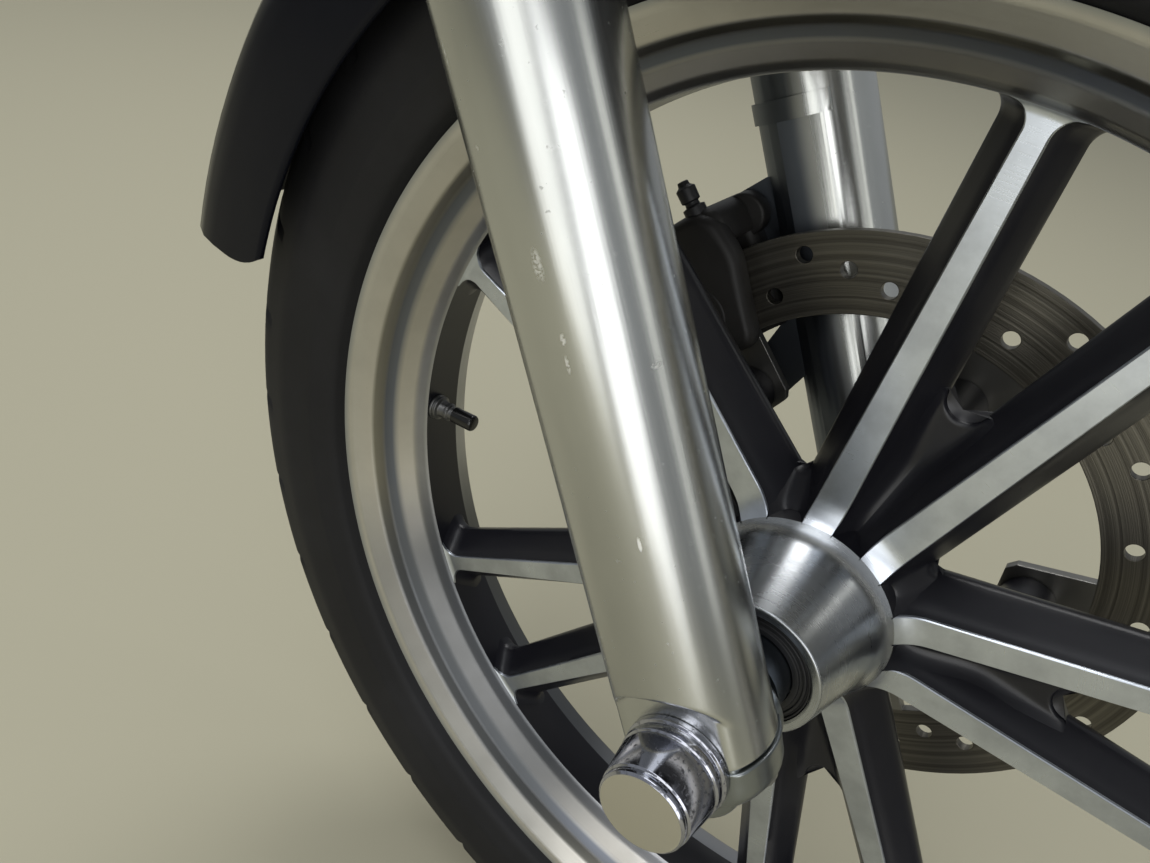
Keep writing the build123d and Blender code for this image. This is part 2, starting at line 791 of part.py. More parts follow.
def head_race(start, up, seat):
    """Rollers and inner race of a head bearing, on the stem."""
    end = start + up * cup_height
    return on_fork(turned_z([
        (stem_radius + slip_gap, seat), (cup_mouth_radius - running_gap, seat),
        (cup_mouth_radius - running_gap, start), (cup_throat_radius - running_gap, end),
        (stem_radius + slip_gap, end),
    ], -yoke_offset, 0))


def fender_section():
    """Fender wall from bead to bead: flat skirts, curved shoulders and a low crown."""
    wall = fender_thickness
    half = fender_skirt_y
    mid_radius = (fender_shoulder_radius + fender_crown_radius) / 2 + 6
    mid_y = (fender_skirt_y + fender_crown_y) / 2 + 6
    top = fender_crown_radius + fender_crown_rise
    shoulder_out = arc_points((fender_shoulder_radius, half), (mid_radius, mid_y),
                              (fender_crown_radius, fender_crown_y), 5)
    crown_out = arc_points((fender_crown_radius, fender_crown_y), (top, 0),
                           (fender_crown_radius, -fender_crown_y), 6)
    inset = 0.7 * wall
    shoulder_in = arc_points((fender_shoulder_radius, half - wall), (mid_radius - inset, mid_y - inset),
                             (fender_crown_radius - wall, fender_crown_y), 5)
    crown_in = arc_points((fender_crown_radius - wall, fender_crown_y), (top - wall, 0),
                          (fender_crown_radius - wall, -fender_crown_y), 6)
    outer = [(fender_skirt_radius, half)] + shoulder_out + crown_out[1:4]
    inner = [(fender_skirt_radius, half - wall)] + shoulder_in + crown_in[1:4]
    outer = outer + [(radius, -y) for radius, y in reversed(outer[:-1])]
    inner = inner + [(radius, -y) for radius, y in reversed(inner[:-1])]
    return make_face(Polyline(*outer, *reversed(inner), close=True))


def fender():
    """Steel fender with side skirts, a rounded crown, rounded ends and beaded lower edges."""
    sweep = fender_rear_angle - fender_front_angle
    middle = (fender_rear_angle + fender_front_angle) / 2
    section = fender_section()
    bead_y = fender_skirt_y - fender_bead_radius
    for side in (-1, 1):
        section += Location((fender_skirt_radius, side * bead_y)) * Circle(fender_bead_radius)
    body = about_axle(revolve(section, Axis.Y, -sweep), fender_front_angle)
    side_view = ring_sector(fender_skirt_radius - 3 * fender_bead_radius, 2 * fender_crown_radius,
                            sweep / 2, fender_end_corner + 2 * fender_bead_radius)
    reach = fender_skirt_y + fender_thickness
    keep = about_axle(plate_y(side_view, -reach, reach), middle)
    return on_wheel(body & keep)


def fender_bracket(side):
    """Plate that bolts a fender skirt to the inner side of its leg."""
    height = bracket_high - bracket_low
    outline = Location((0, bracket_low + height / 2)) * RectangleRounded(
        2 * bracket_half_width, height, bracket_corner)
    near = fender_skirt_y + face_gap
    plate = plate_y(outline, near, near + bracket_thickness)
    for place in bracket_bolts:
        plate -= rod_y(bracket_hole_radius, near - 1, near + bracket_thickness + 1, 0, place)
    if side < 0:
        plate = mirror(plate, Plane.XZ)
    return on_fork(plate)


def on_caliper(shape):
    """Place a shape drawn with X outward from the axle through the caliper's middle."""
    return about_axle(shape, 90 + caliper_angle)


def caliper_block():
    """Two halves over the disc's edge, with their outer faces round the axle."""
    inner = caliper_inner_radius
    outer = caliper_outer_radius
    side_view = ring_sector(inner, outer, caliper_half_angle, caliper_corner)
    block = plate_y(side_view, caliper_near_y, caliper_far_y)
    section = turned([
        (inner, caliper_near_y + 3), (inner + 3, caliper_near_y), (outer - 4, caliper_near_y),
        (outer, caliper_near_y + 4), (outer, caliper_far_y - 12), (outer - 10, caliper_far_y),
        (inner + 3, caliper_far_y), (inner, caliper_far_y - 3),
    ])
    slot = turned([
        (inner - 5, slot_near_y), (slot_top, slot_near_y), (slot_top, slot_far_y), (inner - 5, slot_far_y),
    ])
    bosses = []
    middle = (inner + slot_top) / 2
    for turn in (-piston_angle, piston_angle):
        for start, end in ((caliper_near_y - piston_boss_height, caliper_near_y + 3),
                           (caliper_far_y - 3, caliper_far_y + piston_boss_height)):
            bosses.append(about_axle(rod_y(piston_boss_radius, start, end, middle), turn))
    return (block & section) - slot + bosses


def caliper():
    """Two-sided caliper body over the disc's rear edge, with two mounting ears."""
    upper, lower = ear_places()
    body = on_caliper(caliper_block())
    # Columns: bolt place, rise of the ear's root above it, root height, root depth
    ears = ((upper, -34.0, 30.0, -70.0), (lower, 22.0, 44.0, -74.0))
    body = body + [plate_y(lug_outline(place, 0.0, rise, root, depth), ear_near_y, ear_far_y)
                   for place, rise, root, depth in ears]
    leg_room = Location((0, leg_y, slider_top / 2)) * Cylinder(slider_radius + leg_clearance, slider_top)
    seat = ear_far_y + face_gap / 2
    cuts = [leg_room]
    cuts += leg_lugs(seat, seat + ear_thickness + lug_clearance, lug_clearance)
    for height, back in (upper, lower):
        cuts.append(rod_y(ear_radius + 4, seat, caliper_far_y + 10, back, height))
    cuts += bolt_holes(ear_near_y - 2 * ear_thickness, ear_far_y + 1)
    return on_fork(body - cuts)


def brake_pads():
    """The two pads, one on each side of the disc."""
    outline = ring_sector(caliper_inner_radius + 6, disc_radius - 1, pad_half_angle, pad_corner)
    pads = []
    for start, end in ((slot_near_y + face_gap, disc_near_y - pad_gap),
                       (disc_far_y + pad_gap, slot_far_y - face_gap)):
        pads.append(on_fork(on_caliper(plate_y(outline, start, end))))
    return pads


def bleed_nipple():
    """Capped bleed nipple on the caliper's forward top edge."""
    nipple = turned_z([
        (0, face_gap), (6, face_gap), (6, 4), (3.5, 5), (3.5, 8),
        (5, 8), (5, 17), (3.5, 19), (0, 19),
    ])
    outward = Location((caliper_outer_radius, nipple_y, 0), (0, 90, 0)) * nipple
    return on_fork(on_caliper(about_axle(outward, -nipple_angle)))


def build():
    seal_floor = hub_nose_y + seal_depth
    far_floor = hub_far_y - seal_depth
    leg_inner = leg_y - slider_radius - face_gap
    nodes = {
        "cast_wheel": cast_wheel(),
        "tyre": tyre(),
        "valve": valve(),
        "brake_disc": brake_disc(),
        "disc_bolts": disc_bolts(),
        "axle": axle(),
        "axle_nut": axle_nut(),
        "axle_cover_right": axle_cover(-1),
        "axle_cover_left": axle_cover(1),
        "axle_clamp_right": axle_clamp(),
        "slider_right": slider_right(),
        "slider_left": slider_left(),
        "lower_yoke": lower_yoke(),
        "upper_yoke": upper_yoke(),
        "steering_stem": steering_stem(),
        "stem_nut": stem_nut(),
        "head_cup_lower": head_cup(head_start, 1),
        "head_cup_upper": head_cup(head_end, -1),
        "head_race_lower": head_race(head_start, 1, lower_yoke_start + lower_yoke_height + face_gap),
        "head_race_upper": head_race(head_end, -1, upper_yoke_start - face_gap),
        "fender": fender(),
        "caliper": caliper(),
        "brake_pads": brake_pads(),
        "bleed_nipple": bleed_nipple(),
        "bearing_right": bearing(seal_floor, seal_floor + bearing_width),
        "bearing_left": bearing(far_floor - bearing_width, far_floor),
        "hub_seal_right": hub_seal(hub_nose_y + 1, seal_floor - face_gap),
        "hub_seal_left": hub_seal(hub_far_y - 1, far_floor + face_gap),
        "spacer_right": spacer(-leg_inner, seal_floor - face_gap),
        "spacer_left": spacer(far_floor + face_gap, leg_inner),
    }
    for side, name in ((-1, "right"), (1, "left")):
        nodes["fork_tube_" + name] = fork_tube(side)
        nodes["dust_seal_" + name] = dust_seal(side)
        nodes["fork_cap_" + name] = fork_cap(side)
        nodes["fender_bracket_" + name] = fender_bracket(side)
    return nodes


def write(nodes):
    os.makedirs("parts", exist_ok=True)
    for name, shape in nodes.items():
        solids = shape if isinstance(shape, list) else shape.solids()
        whole = Compound(children=list(solids)) if len(solids) > 1 else solids[0]
        export_step(whole, "parts/" + name + ".step")


write(build())
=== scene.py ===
import bmesh
import bpy
import json
import math
import numpy as np
from mathutils import Matrix


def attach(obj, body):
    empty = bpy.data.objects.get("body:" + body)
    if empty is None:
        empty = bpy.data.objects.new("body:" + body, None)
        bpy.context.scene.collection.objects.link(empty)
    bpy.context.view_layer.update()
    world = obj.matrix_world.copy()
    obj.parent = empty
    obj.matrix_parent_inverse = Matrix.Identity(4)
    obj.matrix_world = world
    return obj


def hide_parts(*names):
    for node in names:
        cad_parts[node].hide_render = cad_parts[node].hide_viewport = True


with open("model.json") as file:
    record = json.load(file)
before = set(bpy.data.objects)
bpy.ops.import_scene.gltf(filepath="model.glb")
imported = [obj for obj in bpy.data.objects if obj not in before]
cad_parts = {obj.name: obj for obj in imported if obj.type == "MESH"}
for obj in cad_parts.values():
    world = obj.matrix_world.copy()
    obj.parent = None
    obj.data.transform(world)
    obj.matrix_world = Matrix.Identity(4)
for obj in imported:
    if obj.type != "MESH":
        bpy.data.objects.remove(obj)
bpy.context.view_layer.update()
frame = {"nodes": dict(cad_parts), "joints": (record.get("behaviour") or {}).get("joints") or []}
print("frame loaded")

# Lengths are in millimetres about the wheel centre. They become metres when a mesh is made.
mm = 0.001
wheelCentre = np.array(next(joint["pos_m"] for joint in frame["joints"] if joint["name"] == "wheel_spin"))
rake = math.radians(30)
aheadOfLeg = np.array([math.cos(rake), 0.0, math.sin(rake)])
alongLeg = np.array([-math.sin(rake), 0.0, math.cos(rake)])
acrossWheel = np.array([0.0, 1.0, 0.0])
legY = 107.1  # from the middle of the wheel to the middle of a leg
weldDistance, tinyEdge = 1e-6, 1e-7  # metres


def setAll(thing, **values):
    for key, value in values.items():
        setattr(thing, key, value)


def addObject(name, data):
    made = bpy.data.objects.new(name, data)
    bpy.context.scene.collection.objects.link(made)
    return made


# Camera and room

camera = {
    "place": (43.657, -352.931, 274.697),
    "right": (0.81169616, 0.55146824, 0.19243731),
    "up": (-0.44685413, 0.37415362, 0.8126072),
    "lens": 29.36,
    "sensor": 36.0,
    "farEnd": 100.0,
}
room = {"floorZ": -334.0, "halfSize": 30000.0, "floorColour": (0.50, 0.47, 0.345), "floorRoughness": 0.8,
        "worldColour": (0.93, 0.97, 1.0), "worldStrength": 0.33, "lampDistance": 3000.0}

cameraData = bpy.data.cameras.new("camera")
setAll(cameraData, lens=camera["lens"], sensor_width=camera["sensor"], clip_end=camera["farEnd"])
cameraObject = addObject("camera", cameraData)
right, up = np.array(camera["right"]), np.array(camera["up"])
turn = Matrix(np.stack([right, up, np.cross(right, up)], axis=1).tolist()).to_4x4()
cameraObject.matrix_world = Matrix.Translation(wheelCentre + np.array(camera["place"]) * mm) @ turn
bpy.context.scene.camera = cameraObject
bpy.context.scene.view_settings.view_transform = "Standard"


# Meshes from arrays

def cleaned(mesh, sharp, flatAngle=None):
    # doubles welded; then faces within flatAngle degrees joined, or slivers dissolved and normals turned outwards;
    # smooth faces, with edges left sharp above that many degrees
    tidy = bmesh.new()
    tidy.from_mesh(mesh)
    bmesh.ops.remove_doubles(tidy, verts=tidy.verts, dist=weldDistance)
    if flatAngle:
        bmesh.ops.dissolve_limit(tidy, angle_limit=math.radians(flatAngle), verts=tidy.verts, edges=tidy.edges)
    else:
        bmesh.ops.dissolve_degenerate(tidy, edges=tidy.edges, dist=tinyEdge)
        bmesh.ops.recalc_face_normals(tidy, faces=tidy.faces)
    tidy.to_mesh(mesh)
    tidy.free()
    mesh.polygons.foreach_set("use_smooth", np.ones(len(mesh.polygons), dtype=bool))
    mesh.set_sharp_from_angle(angle=math.radians(sharp))
    return mesh


def makeMesh(name, points, faces, faceMaterials, materials, sharp):
    # points (n, 3) in millimetres about the wheel centre, faces (m, 4) of point numbers
    mesh = bpy.data.meshes.new(name)
    mesh.vertices.add(len(points))
    mesh.vertices.foreach_set("co", (points * mm + wheelCentre).astype(np.float32).ravel())
    mesh.loops.add(faces.size)
    mesh.loops.foreach_set("vertex_index", faces.astype(np.int32).ravel())
    mesh.polygons.add(len(faces))
    mesh.polygons.foreach_set("loop_start", np.arange(0, faces.size, faces.shape[1], dtype=np.int32))
    for material in materials:
        mesh.materials.append(material)
    if faceMaterials is not None:
        mesh.polygons.foreach_set("material_index", faceMaterials.astype(np.int32))
    mesh.update(calc_edges=True)
    return cleaned(mesh, sharp)


def addPiece(name, mesh, body, replaced=None):
    # a finished object that moves with a body and may stand for one CAD node
    piece = addObject(name, mesh)
    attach(piece, body)
    if replaced:
        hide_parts(replaced)
    return piece


def gridFaces(rows, columns, closeRows):
    # quads (i, j), (i+1, j), (i+1, j+1), (i, j+1) of rows that are closed loops; the last row may join the first
    i, j = np.meshgrid(np.arange(rows if closeRows else rows - 1), np.arange(columns), indexing="ij")
    iNext, jNext = (i + 1) % rows, (j + 1) % columns
    corners = [i * columns + j, iNext * columns + j, iNext * columns + jNext, i * columns + jNext]
    return np.stack(corners, axis=-1).reshape(-1, 4)


def circle(count):
    return np.linspace(0, 2 * math.pi, count, endpoint=False)


def spaced(parts):
    # single numbers as they are, and evenly spaced ones for each (first, last, count)
    return np.concatenate([np.linspace(*part) if isinstance(part, tuple) else [part] for part in parts])


def cappedLoops(grid):
    # rows of closed loops; each end is closed with a pole at the middle of its loop
    poles = [np.repeat(grid[row:row + 1 or None].mean(axis=1, keepdims=True), grid.shape[1], axis=1)
             for row in (0, -1)]
    return np.concatenate([poles[0], grid, poles[1]])


def addLoops(name, grids, materials, sharp, body, slotName, replaced=None, columnMaterials=None, closeRows=False):
    # a piece made of several grids, whose rows are closed loops
    points, faces, kinds, start = [], [], [], 0
    for grid in grids:
        rows, columns = grid.shape[:2]
        points.append(grid.reshape(-1, 3))
        faces.append(gridFaces(rows, columns, closeRows) + start)
        if columnMaterials is not None:
            kinds.append(np.tile(columnMaterials, len(faces[-1]) // columns))
        start += rows * columns
    kinds = np.concatenate(kinds) if kinds else None
    mesh = makeMesh(name, np.concatenate(points), np.concatenate(faces), kinds, materials, sharp)
    addPiece(name, mesh, body, replaced)


def bentPath(corners, closed=True, steps=6):
    # corners (x, y, radius): each becomes an arc tangent to both sides,
    # its centre on the bisector at radius / sin(half angle)
    places = np.array([corner[:2] for corner in corners], float)
    path = []
    for k, (x, y, radius) in enumerate(corners):
        here = places[k]
        if not radius or (not closed and k in (0, len(corners) - 1)):
            path.append(here[None])
            continue
        back, ahead = places[k - 1] - here, places[(k + 1) % len(corners)] - here
        back, ahead = back / np.linalg.norm(back), ahead / np.linalg.norm(ahead)
        half = math.acos(np.clip(back @ ahead, -1, 1)) / 2
        centre = here + (back + ahead) / np.linalg.norm(back + ahead) * radius / math.sin(half)
        first, last = here + back * radius / math.tan(half), here + ahead * radius / math.tan(half)
        chord = first + (last - first) * np.linspace(0, 1, steps + 1)[:, None] - centre
        path.append(centre + chord / np.linalg.norm(chord, axis=1)[:, None] * radius)
    return np.concatenate(path)


def turnedGrid(profile, count, centre=(0, 0, 0), axis=(0, 1, 0), sides=0, sidesFrom=None):
    # profile (radius, along) turned about an axis: centre + axis * along + radius * (u cos t + v sin t);
    # with sides, the radius stops at a polygon's flat: flat / cos(t from the middle of a side)
    axis = np.array(axis, float) / np.linalg.norm(axis)
    u = np.cross(axis, (0.3, 0.2, 0.9) if abs(axis[2]) < 0.8 else (1, 0, 0))
    u /= np.linalg.norm(u)
    v = np.cross(axis, u)
    t = circle(count)
    radius = profile[:, 0] + 0 * t[:, None]
    if sides:
        flat, start = sidesFrom
        part = 2 * math.pi / sides
        limit = flat / np.cos((t + part / 2) % part - part / 2)
        radius = np.where(profile[:, 1] >= start, np.minimum(radius, limit[:, None]), radius)
    around = np.cos(t)[:, None] * u + np.sin(t)[:, None] * v
    return centre + profile[:, 1, None] * axis + radius[..., None] * around[:, None]


def addTurned(name, corners, count, materials, body, slotName, replaced, materialOf=None, steps=6, **more):
    # a closed outline with bent corners, turned once round; materialOf(radius, along) picks each band's finish
    profile = bentPath(corners, True, steps)
    middle = (profile + np.roll(profile, -1, axis=0)) / 2
    kinds = materialOf(*middle.T).astype(int) if materialOf else None
    addLoops(name, [turnedGrid(profile, count, **more)], materials, 32, body, slotName, replaced, kinds, True)


def mergedCopy(name, node, body, material, bevel, sharp=30):
    # a CAD node's mesh, cleaned so that its edges can take a bevel
    mesh = cleaned(frame["nodes"][node].data.copy(), sharp, 0.6)
    mesh.name = name
    mesh.polygons.foreach_set("material_index", np.zeros(len(mesh.polygons), dtype=np.int32))
    mesh.materials.clear()
    mesh.materials.append(material)
    piece = addPiece(name, mesh, body, node)
    if bevel:
        setAll(piece.modifiers.new("edge", "BEVEL"), width=bevel * mm, segments=2, limit_method="ANGLE",
               angle_limit=math.radians(sharp), use_clamp_overlap=True, harden_normals=True)


def evenly(path, count):
    # points at equal distances round a closed outline
    ring = np.concatenate([path, path[:1]])
    run = np.concatenate([[0], np.cumsum(np.hypot(*np.diff(ring, axis=0).T))])
    at = np.linspace(0, run[-1], count, endpoint=False)
    return np.stack([np.interp(at, run, ring[:, 0]), np.interp(at, run, ring[:, 1])], axis=1)


def hullOf(discs, count=120):
    # outline round the discs (x, y, radius) and its outward directions d: centre + radius * d of the disc with the
    # highest centre . d + radius
    way = np.stack([np.cos(circle(count)), np.sin(circle(count))], axis=1)
    discs = np.array(discs, float)
    best = np.argmax(way @ discs[:, :2].T + discs[:, 2], axis=1)
    return discs[best, :2] + discs[best, 2:] * way, way


def plateGrid(outline, low, high, edge, outward=None, steps=5):
    # a flat outline given thickness along the third number, its edges bent round: at angle a of the bend
    # the outline stands edge(1 - sin a) inside itself and edge(1 - cos a) from the face
    if outward is None:
        run = np.roll(outline, -1, axis=0) - np.roll(outline, 1, axis=0)
        run /= np.linalg.norm(run, axis=1)[:, None]
        before = np.roll(outline, 1, axis=0)
        around = np.sign(np.sum(before[:, 0] * outline[:, 1] - before[:, 1] * outline[:, 0]))
        outward = around * np.stack([run[:, 1], -run[:, 0]], axis=1)
    a = np.linspace(0, math.pi / 2, steps)
    inset, rise = edge * (1 - np.sin(a)), edge * (1 - np.cos(a))
    inset, height = np.concatenate([inset, inset[::-1]]), np.concatenate([low + rise, high - rise[::-1]])
    flat = outline[None] - inset[:, None, None] * outward[None]
    return cappedLoops(np.concatenate([flat, height[:, None, None] + 0 * flat[..., :1]], axis=-1))


def onFork(p, y, s):
    # p ahead of the leg, y across, s up the leg from the axle
    return np.asarray(p)[..., None] * aheadOfLeg + np.asarray(y)[..., None] * acrossWheel \
        + np.asarray(s)[..., None] * alongLeg


def plateOnFork(grid):
    # a plate drawn ahead of and up the leg, its thickness across the wheel
    return onFork(grid[..., 0], grid[..., 2], grid[..., 1])


# Materials

class Wire:
    # a socket of one material; + - * / with numbers or other wires add Math nodes
    def __init__(self, tree, socket=None):
        self.tree, self.socket = tree, socket

    def node(self, kind, settings=None, sockets=(), output=0):
        made = self.tree.nodes.new(kind)
        setAll(made, **(settings or {}))
        for key, value in (sockets.items() if isinstance(sockets, dict) else enumerate(sockets)):
            if isinstance(value, Wire):
                self.tree.links.new(value.socket, made.inputs[key])
            else:
                made.inputs[key].default_value = value
        return Wire(self.tree, made.outputs[output])

    def maths(self, operation, *values):
        return self.node("ShaderNodeMath", {"operation": operation}, values)

    def vector(self, operation, *others, output=0):
        return self.node("ShaderNodeVectorMath", {"operation": operation}, (self, *others), output)

    def __add__(self, other): return self.maths("ADD", self, other)
    def __radd__(self, other): return self.maths("ADD", other, self)
    def __sub__(self, other): return self.maths("SUBTRACT", self, other)
    def __rsub__(self, other): return self.maths("SUBTRACT", other, self)
    def __mul__(self, other): return self.maths("MULTIPLY", self, other)
    def __truediv__(self, other): return self.maths("DIVIDE", self, other)

    def smoothstep(self, low, high):
        return self.node("ShaderNodeMapRange", {"interpolation_type": "SMOOTHSTEP"}, [self, low, high, 0.0, 1.0])

    def noise(self, scale, detail=3.0, rough=0.55, flat=False):
        # flat reads one number instead of a place
        return self.node("ShaderNodeTexNoise", {"noise_dimensions": "1D" if flat else "3D"},
                         {"W" if flat else "Vector": self, "Scale": scale, "Detail": detail, "Roughness": rough})

    def blend(self, first, second):
        # a colour between two, by this number
        ends = [end if isinstance(end, Wire) else (*end, 1) for end in (first, second)]
        return self.node("ShaderNodeMix", {"data_type": "RGBA"}, {0: self, 6: ends[0], 7: ends[1]}, 2)

    def bump(self, strength, distance):
        return self.node("ShaderNodeBump", {}, {"Height": self, "Strength": strength, "Distance": distance})


def startMaterial(name, colour, metallic, roughness, specular=0.5):
    material = bpy.data.materials.new(name)
    material.use_nodes = True
    shader = material.node_tree.nodes["Principled BSDF"]
    plain = {"Base Color": (*colour, 1), "Metallic": metallic, "Roughness": roughness, "Specular IOR Level": specular}
    for key, value in plain.items():
        shader.inputs[key].default_value = value
    return material, Wire(material.node_tree).node("ShaderNodeTexCoord", output="Object")


def feed(material, **sockets):
    # varying values into the shader's inputs
    shader = material.node_tree.nodes["Principled BSDF"]
    names = {"colour": "Base Color", "roughness": "Roughness", "normal": "Normal"}
    for key, wire in sockets.items():
        wire.tree.links.new(wire.socket, shader.inputs[names[key]])
    return material


def aboutCentre(place, lean=0.0):
    # place from the wheel centre, with Z leaned back by an angle
    return place.node("ShaderNodeMapping", {"vector_type": "TEXTURE"},
                      {"Vector": place, "Location": tuple(wheelCentre), "Rotation": (0, -lean, 0)})


def aboutAxle(place):
    # place from the wheel centre, and the distance from the axle: length of (x, 0, z)
    centred = aboutCentre(place)
    return centred, centred.vector("MULTIPLY", (1, 0, 1)).vector("LENGTH", output="Value")


def turnedAlloyMaterial(name, colour, roughness, marks):
    # lathe marks: noise over the distance from the axle, with cloudy tarnish
    material, place = startMaterial(name, colour, 1.0, roughness)
    centred, radius = aboutAxle(place)
    lines = radius.noise(1400.0, 4.0, 0.6, flat=True)
    clouds = centred.noise(34.0, 5.0, 0.6)
    dull = tuple(0.74 * c for c in colour)
    return feed(material, colour=clouds.smoothstep(0.35, 0.7).blend(colour, dull),
                roughness=lines * marks + clouds * 0.16 + (roughness - marks / 2 - 0.08),
                normal=(lines + clouds * 0.5).bump(0.05, 0.0002))


def rimMaterial(name, look):
    # turned bands by the distance from the axle, two of them a painted dark reflection; painted shade where the dot
    # product of the direction from the axle and look's turn is high, fading towards the lip
    material, place = startMaterial(name, (0.5, 0.5, 0.48), 1.0, 0.3)
    centred, radius = aboutAxle(place)
    share = (radius - look["start"] * mm) * (1 / (look["span"] * mm))
    # turned tones by radius, with the cove's painted dark reflection
    bands = share.node("ShaderNodeValToRGB", {}, [share])
    elements = bands.socket.node.color_ramp.elements
    while len(elements) < len(look["bands"]):
        elements.new(1.0)
    for k, (at, colour) in enumerate(look["bands"]):
        setAll(elements[k], position=(at - look["start"]) / look["span"], color=(*colour, 1))
    lines = radius.noise(1300.0, 4.0, 0.6, flat=True)
    clouds = centred.noise(26.0, 4.0, 0.6)
    turn = math.radians(look["paintedShadeTurn"])
    facing = centred.vector("DOT_PRODUCT", (math.cos(turn), 0, math.sin(turn)), output="Value") / radius
    # painted shade: the rim darkened in one sector round the axle, standing in for a darker reflection there
    paintedShade = facing.smoothstep(0.82, 0.96) * (1 - radius.smoothstep(*look["paintedShadeEnd"]))
    tone = (clouds.smoothstep(0.35, 0.8) * 0.22).blend(bands, (0.2, 0.19, 0.15))
    # strength of the painted shade, weaker past about 241 mm from the axle
    cover = paintedShade * (0.86 - radius.smoothstep(*look["paintedShadeThins"]) * 0.3)
    return feed(material, colour=cover.blend(tone, look["paintedShadeColour"]),
                roughness=lines * 0.1 + clouds * 0.14 + paintedShade * 0.08 + 0.2,
                normal=(lines + clouds * 0.6).bump(0.08, 0.0002))


def paintMaterial(name, colour, roughness, grain=900.0, depth=0.00008, dust=0.25, specular=0.5):
    # paint with a fine orange-peel bump and thin dust
    material, place = startMaterial(name, colour, 0.0, roughness, specular)
    peel = place.noise(grain, 2.0)
    clouds = place.noise(22.0, 5.0, 0.6)
    dusty = tuple(c + 0.02 * dust for c in colour)
    return feed(material, colour=clouds.smoothstep(0.4, 0.75).blend(colour, dusty),
                roughness=clouds * 0.2 + (roughness - 0.1), normal=peel.bump(0.25, depth))


def legMetalMaterial(name, colour, roughness, castColour=None, nicks=()):
    # long streaks up the leg: noise on a place that is squeezed along the leg; a nick is a scuffed patch,
    # 1 at its place and 0 a few millimetres off; castColour covers the inner side behind the leg's middle
    material, place = startMaterial(name, colour, 1.0, roughness)
    leg = aboutCentre(place, rake)
    streaks = leg.vector("MULTIPLY", (1, 1, 0.012)).noise(900.0, 4.0, 0.6)
    clouds = leg.vector("MULTIPLY", (1, 1, 0.3)).noise(24.0, 4.0)
    specks = leg.noise(420.0, 2.0).smoothstep(0.71, 0.78) * clouds.smoothstep(0.45, 0.6)
    dull = tuple(0.84 * c for c in colour)
    tone = clouds.smoothstep(0.4, 0.75).blend(colour, dull)
    rough = streaks * 0.08 + clouds * 0.08 + specks * 0.25 + (roughness - 0.08)
    height = streaks
    if castColour:
        ahead = leg.node("ShaderNodeSeparateXYZ", {}, [leg])
        across = leg.node("ShaderNodeSeparateXYZ", {}, [leg], 1)
        cast = (1 - (ahead + clouds * 0.008).smoothstep(0.0, 0.012)) * (1 - across.smoothstep(0.1, 0.112))
        tone = cast.blend(tone, castColour)
        rough = rough + cast * 0.22
        height = height + cast * place.noise(700.0, 3.0)
    if nicks:
        scuffs = 0.0
        for where, size in nicks:
            off = leg.vector("SUBTRACT", tuple(mm * v for v in where))
            off = off.vector("MULTIPLY", tuple(1 / (mm * v) for v in size))
            scuffs = scuffs + (1 - off.vector("LENGTH", output="Value").smoothstep(0.4, 1.0))
        scuffs = scuffs * leg.noise(900.0, 3.0).smoothstep(0.42, 0.58)
        tone = scuffs.blend(tone, (0.8, 0.8, 0.78))
        rough = rough + scuffs * 0.3
        height = height - scuffs * 2.0
    return feed(material, colour=tone, roughness=rough, normal=height.bump(0.12, 0.0002))


def plainMetalMaterial(name, colour, roughness, speckle=0.0):
    # metal with fine grain, and dark pits where speckle is above nothing
    material, place = startMaterial(name, colour, 1.0, roughness)
    grain = place.noise(260.0, 4.0)
    pits = place.noise(620.0, 3.0).smoothstep(0.52, 0.68)
    dark = tuple(0.45 * c for c in colour)
    return feed(material, colour=(pits * speckle).blend(colour, dark),
                roughness=grain * 0.1 + pits * speckle * 0.25 + (roughness - 0.05),
                normal=grain.bump(0.05, 0.0002))


def rubberMaterial(name, colour, roughness, specular=0.5):
    # rubber with fine grain and grey dust in broad patches
    material, place = startMaterial(name, colour, 0.0, roughness, specular)
    grain = place.noise(1500.0, 3.0)
    clouds = place.noise(14.0, 5.0, 0.6)
    dusty = tuple(c * 1.9 for c in colour)
    return feed(material, colour=clouds.smoothstep(0.35, 0.8).blend(colour, dusty),
                roughness=grain * 0.15 + (roughness - 0.07), normal=grain.bump(0.3, 0.0002))


def discMaterial(name):
    # worn rings outside the lugs: noise over the distance from the axle
    material, place = startMaterial(name, (0.1, 0.095, 0.085), 0.85, 0.42)
    centred, radius = aboutAxle(place)
    rings = radius.noise(380.0, 4.0, 0.7, flat=True)
    fine = radius.noise(2200.0, 2.0, 0.6, flat=True)
    clouds = centred.noise(30.0, 3.0)
    band = radius.smoothstep(0.1108, 0.1116)  # the lugs end there
    worn = rings.smoothstep(0.3, 0.7).blend((0.085, 0.079, 0.067), (0.17, 0.16, 0.135))
    return feed(material, colour=band.blend((0.23, 0.225, 0.21), worn),
                roughness=fine * band * 0.15 + clouds * 0.1 + 0.27,
                normal=((rings + fine * 0.2) * band).bump(0.4, 0.0006))


rimLook = {
    # the near side's tone by radius in millimetres, over a span from the start; the dark bluish bands at 235.2 and
    # 238.2 in the cove are a painted dark reflection
    "start": 222.0,
    "span": 34.0,
    "bands": (
        (222.0, (0.36, 0.37, 0.39)), (225.8, (0.40, 0.40, 0.41)), (227.6, (0.58, 0.56, 0.52)),
        (232.4, (0.55, 0.53, 0.49)), (235.2, (0.15, 0.165, 0.20)), (238.2, (0.12, 0.13, 0.155)),
        (239.6, (0.24, 0.23, 0.2)), (241.4, (0.30, 0.29, 0.25)), (242.6, (0.58, 0.56, 0.52)),
        (252.5, (0.56, 0.55, 0.52)), (255.4, (0.34, 0.36, 0.38)),
    ),
    # where the painted shade lies: degrees from +X towards +Z, then metres from the axle
    "paintedShadeTurn": 227,
    "paintedShadeThins": (0.2412, 0.2436),
    "paintedShadeEnd": (0.2503, 0.2522),
    "paintedShadeColour": (0.085, 0.09, 0.095),
}
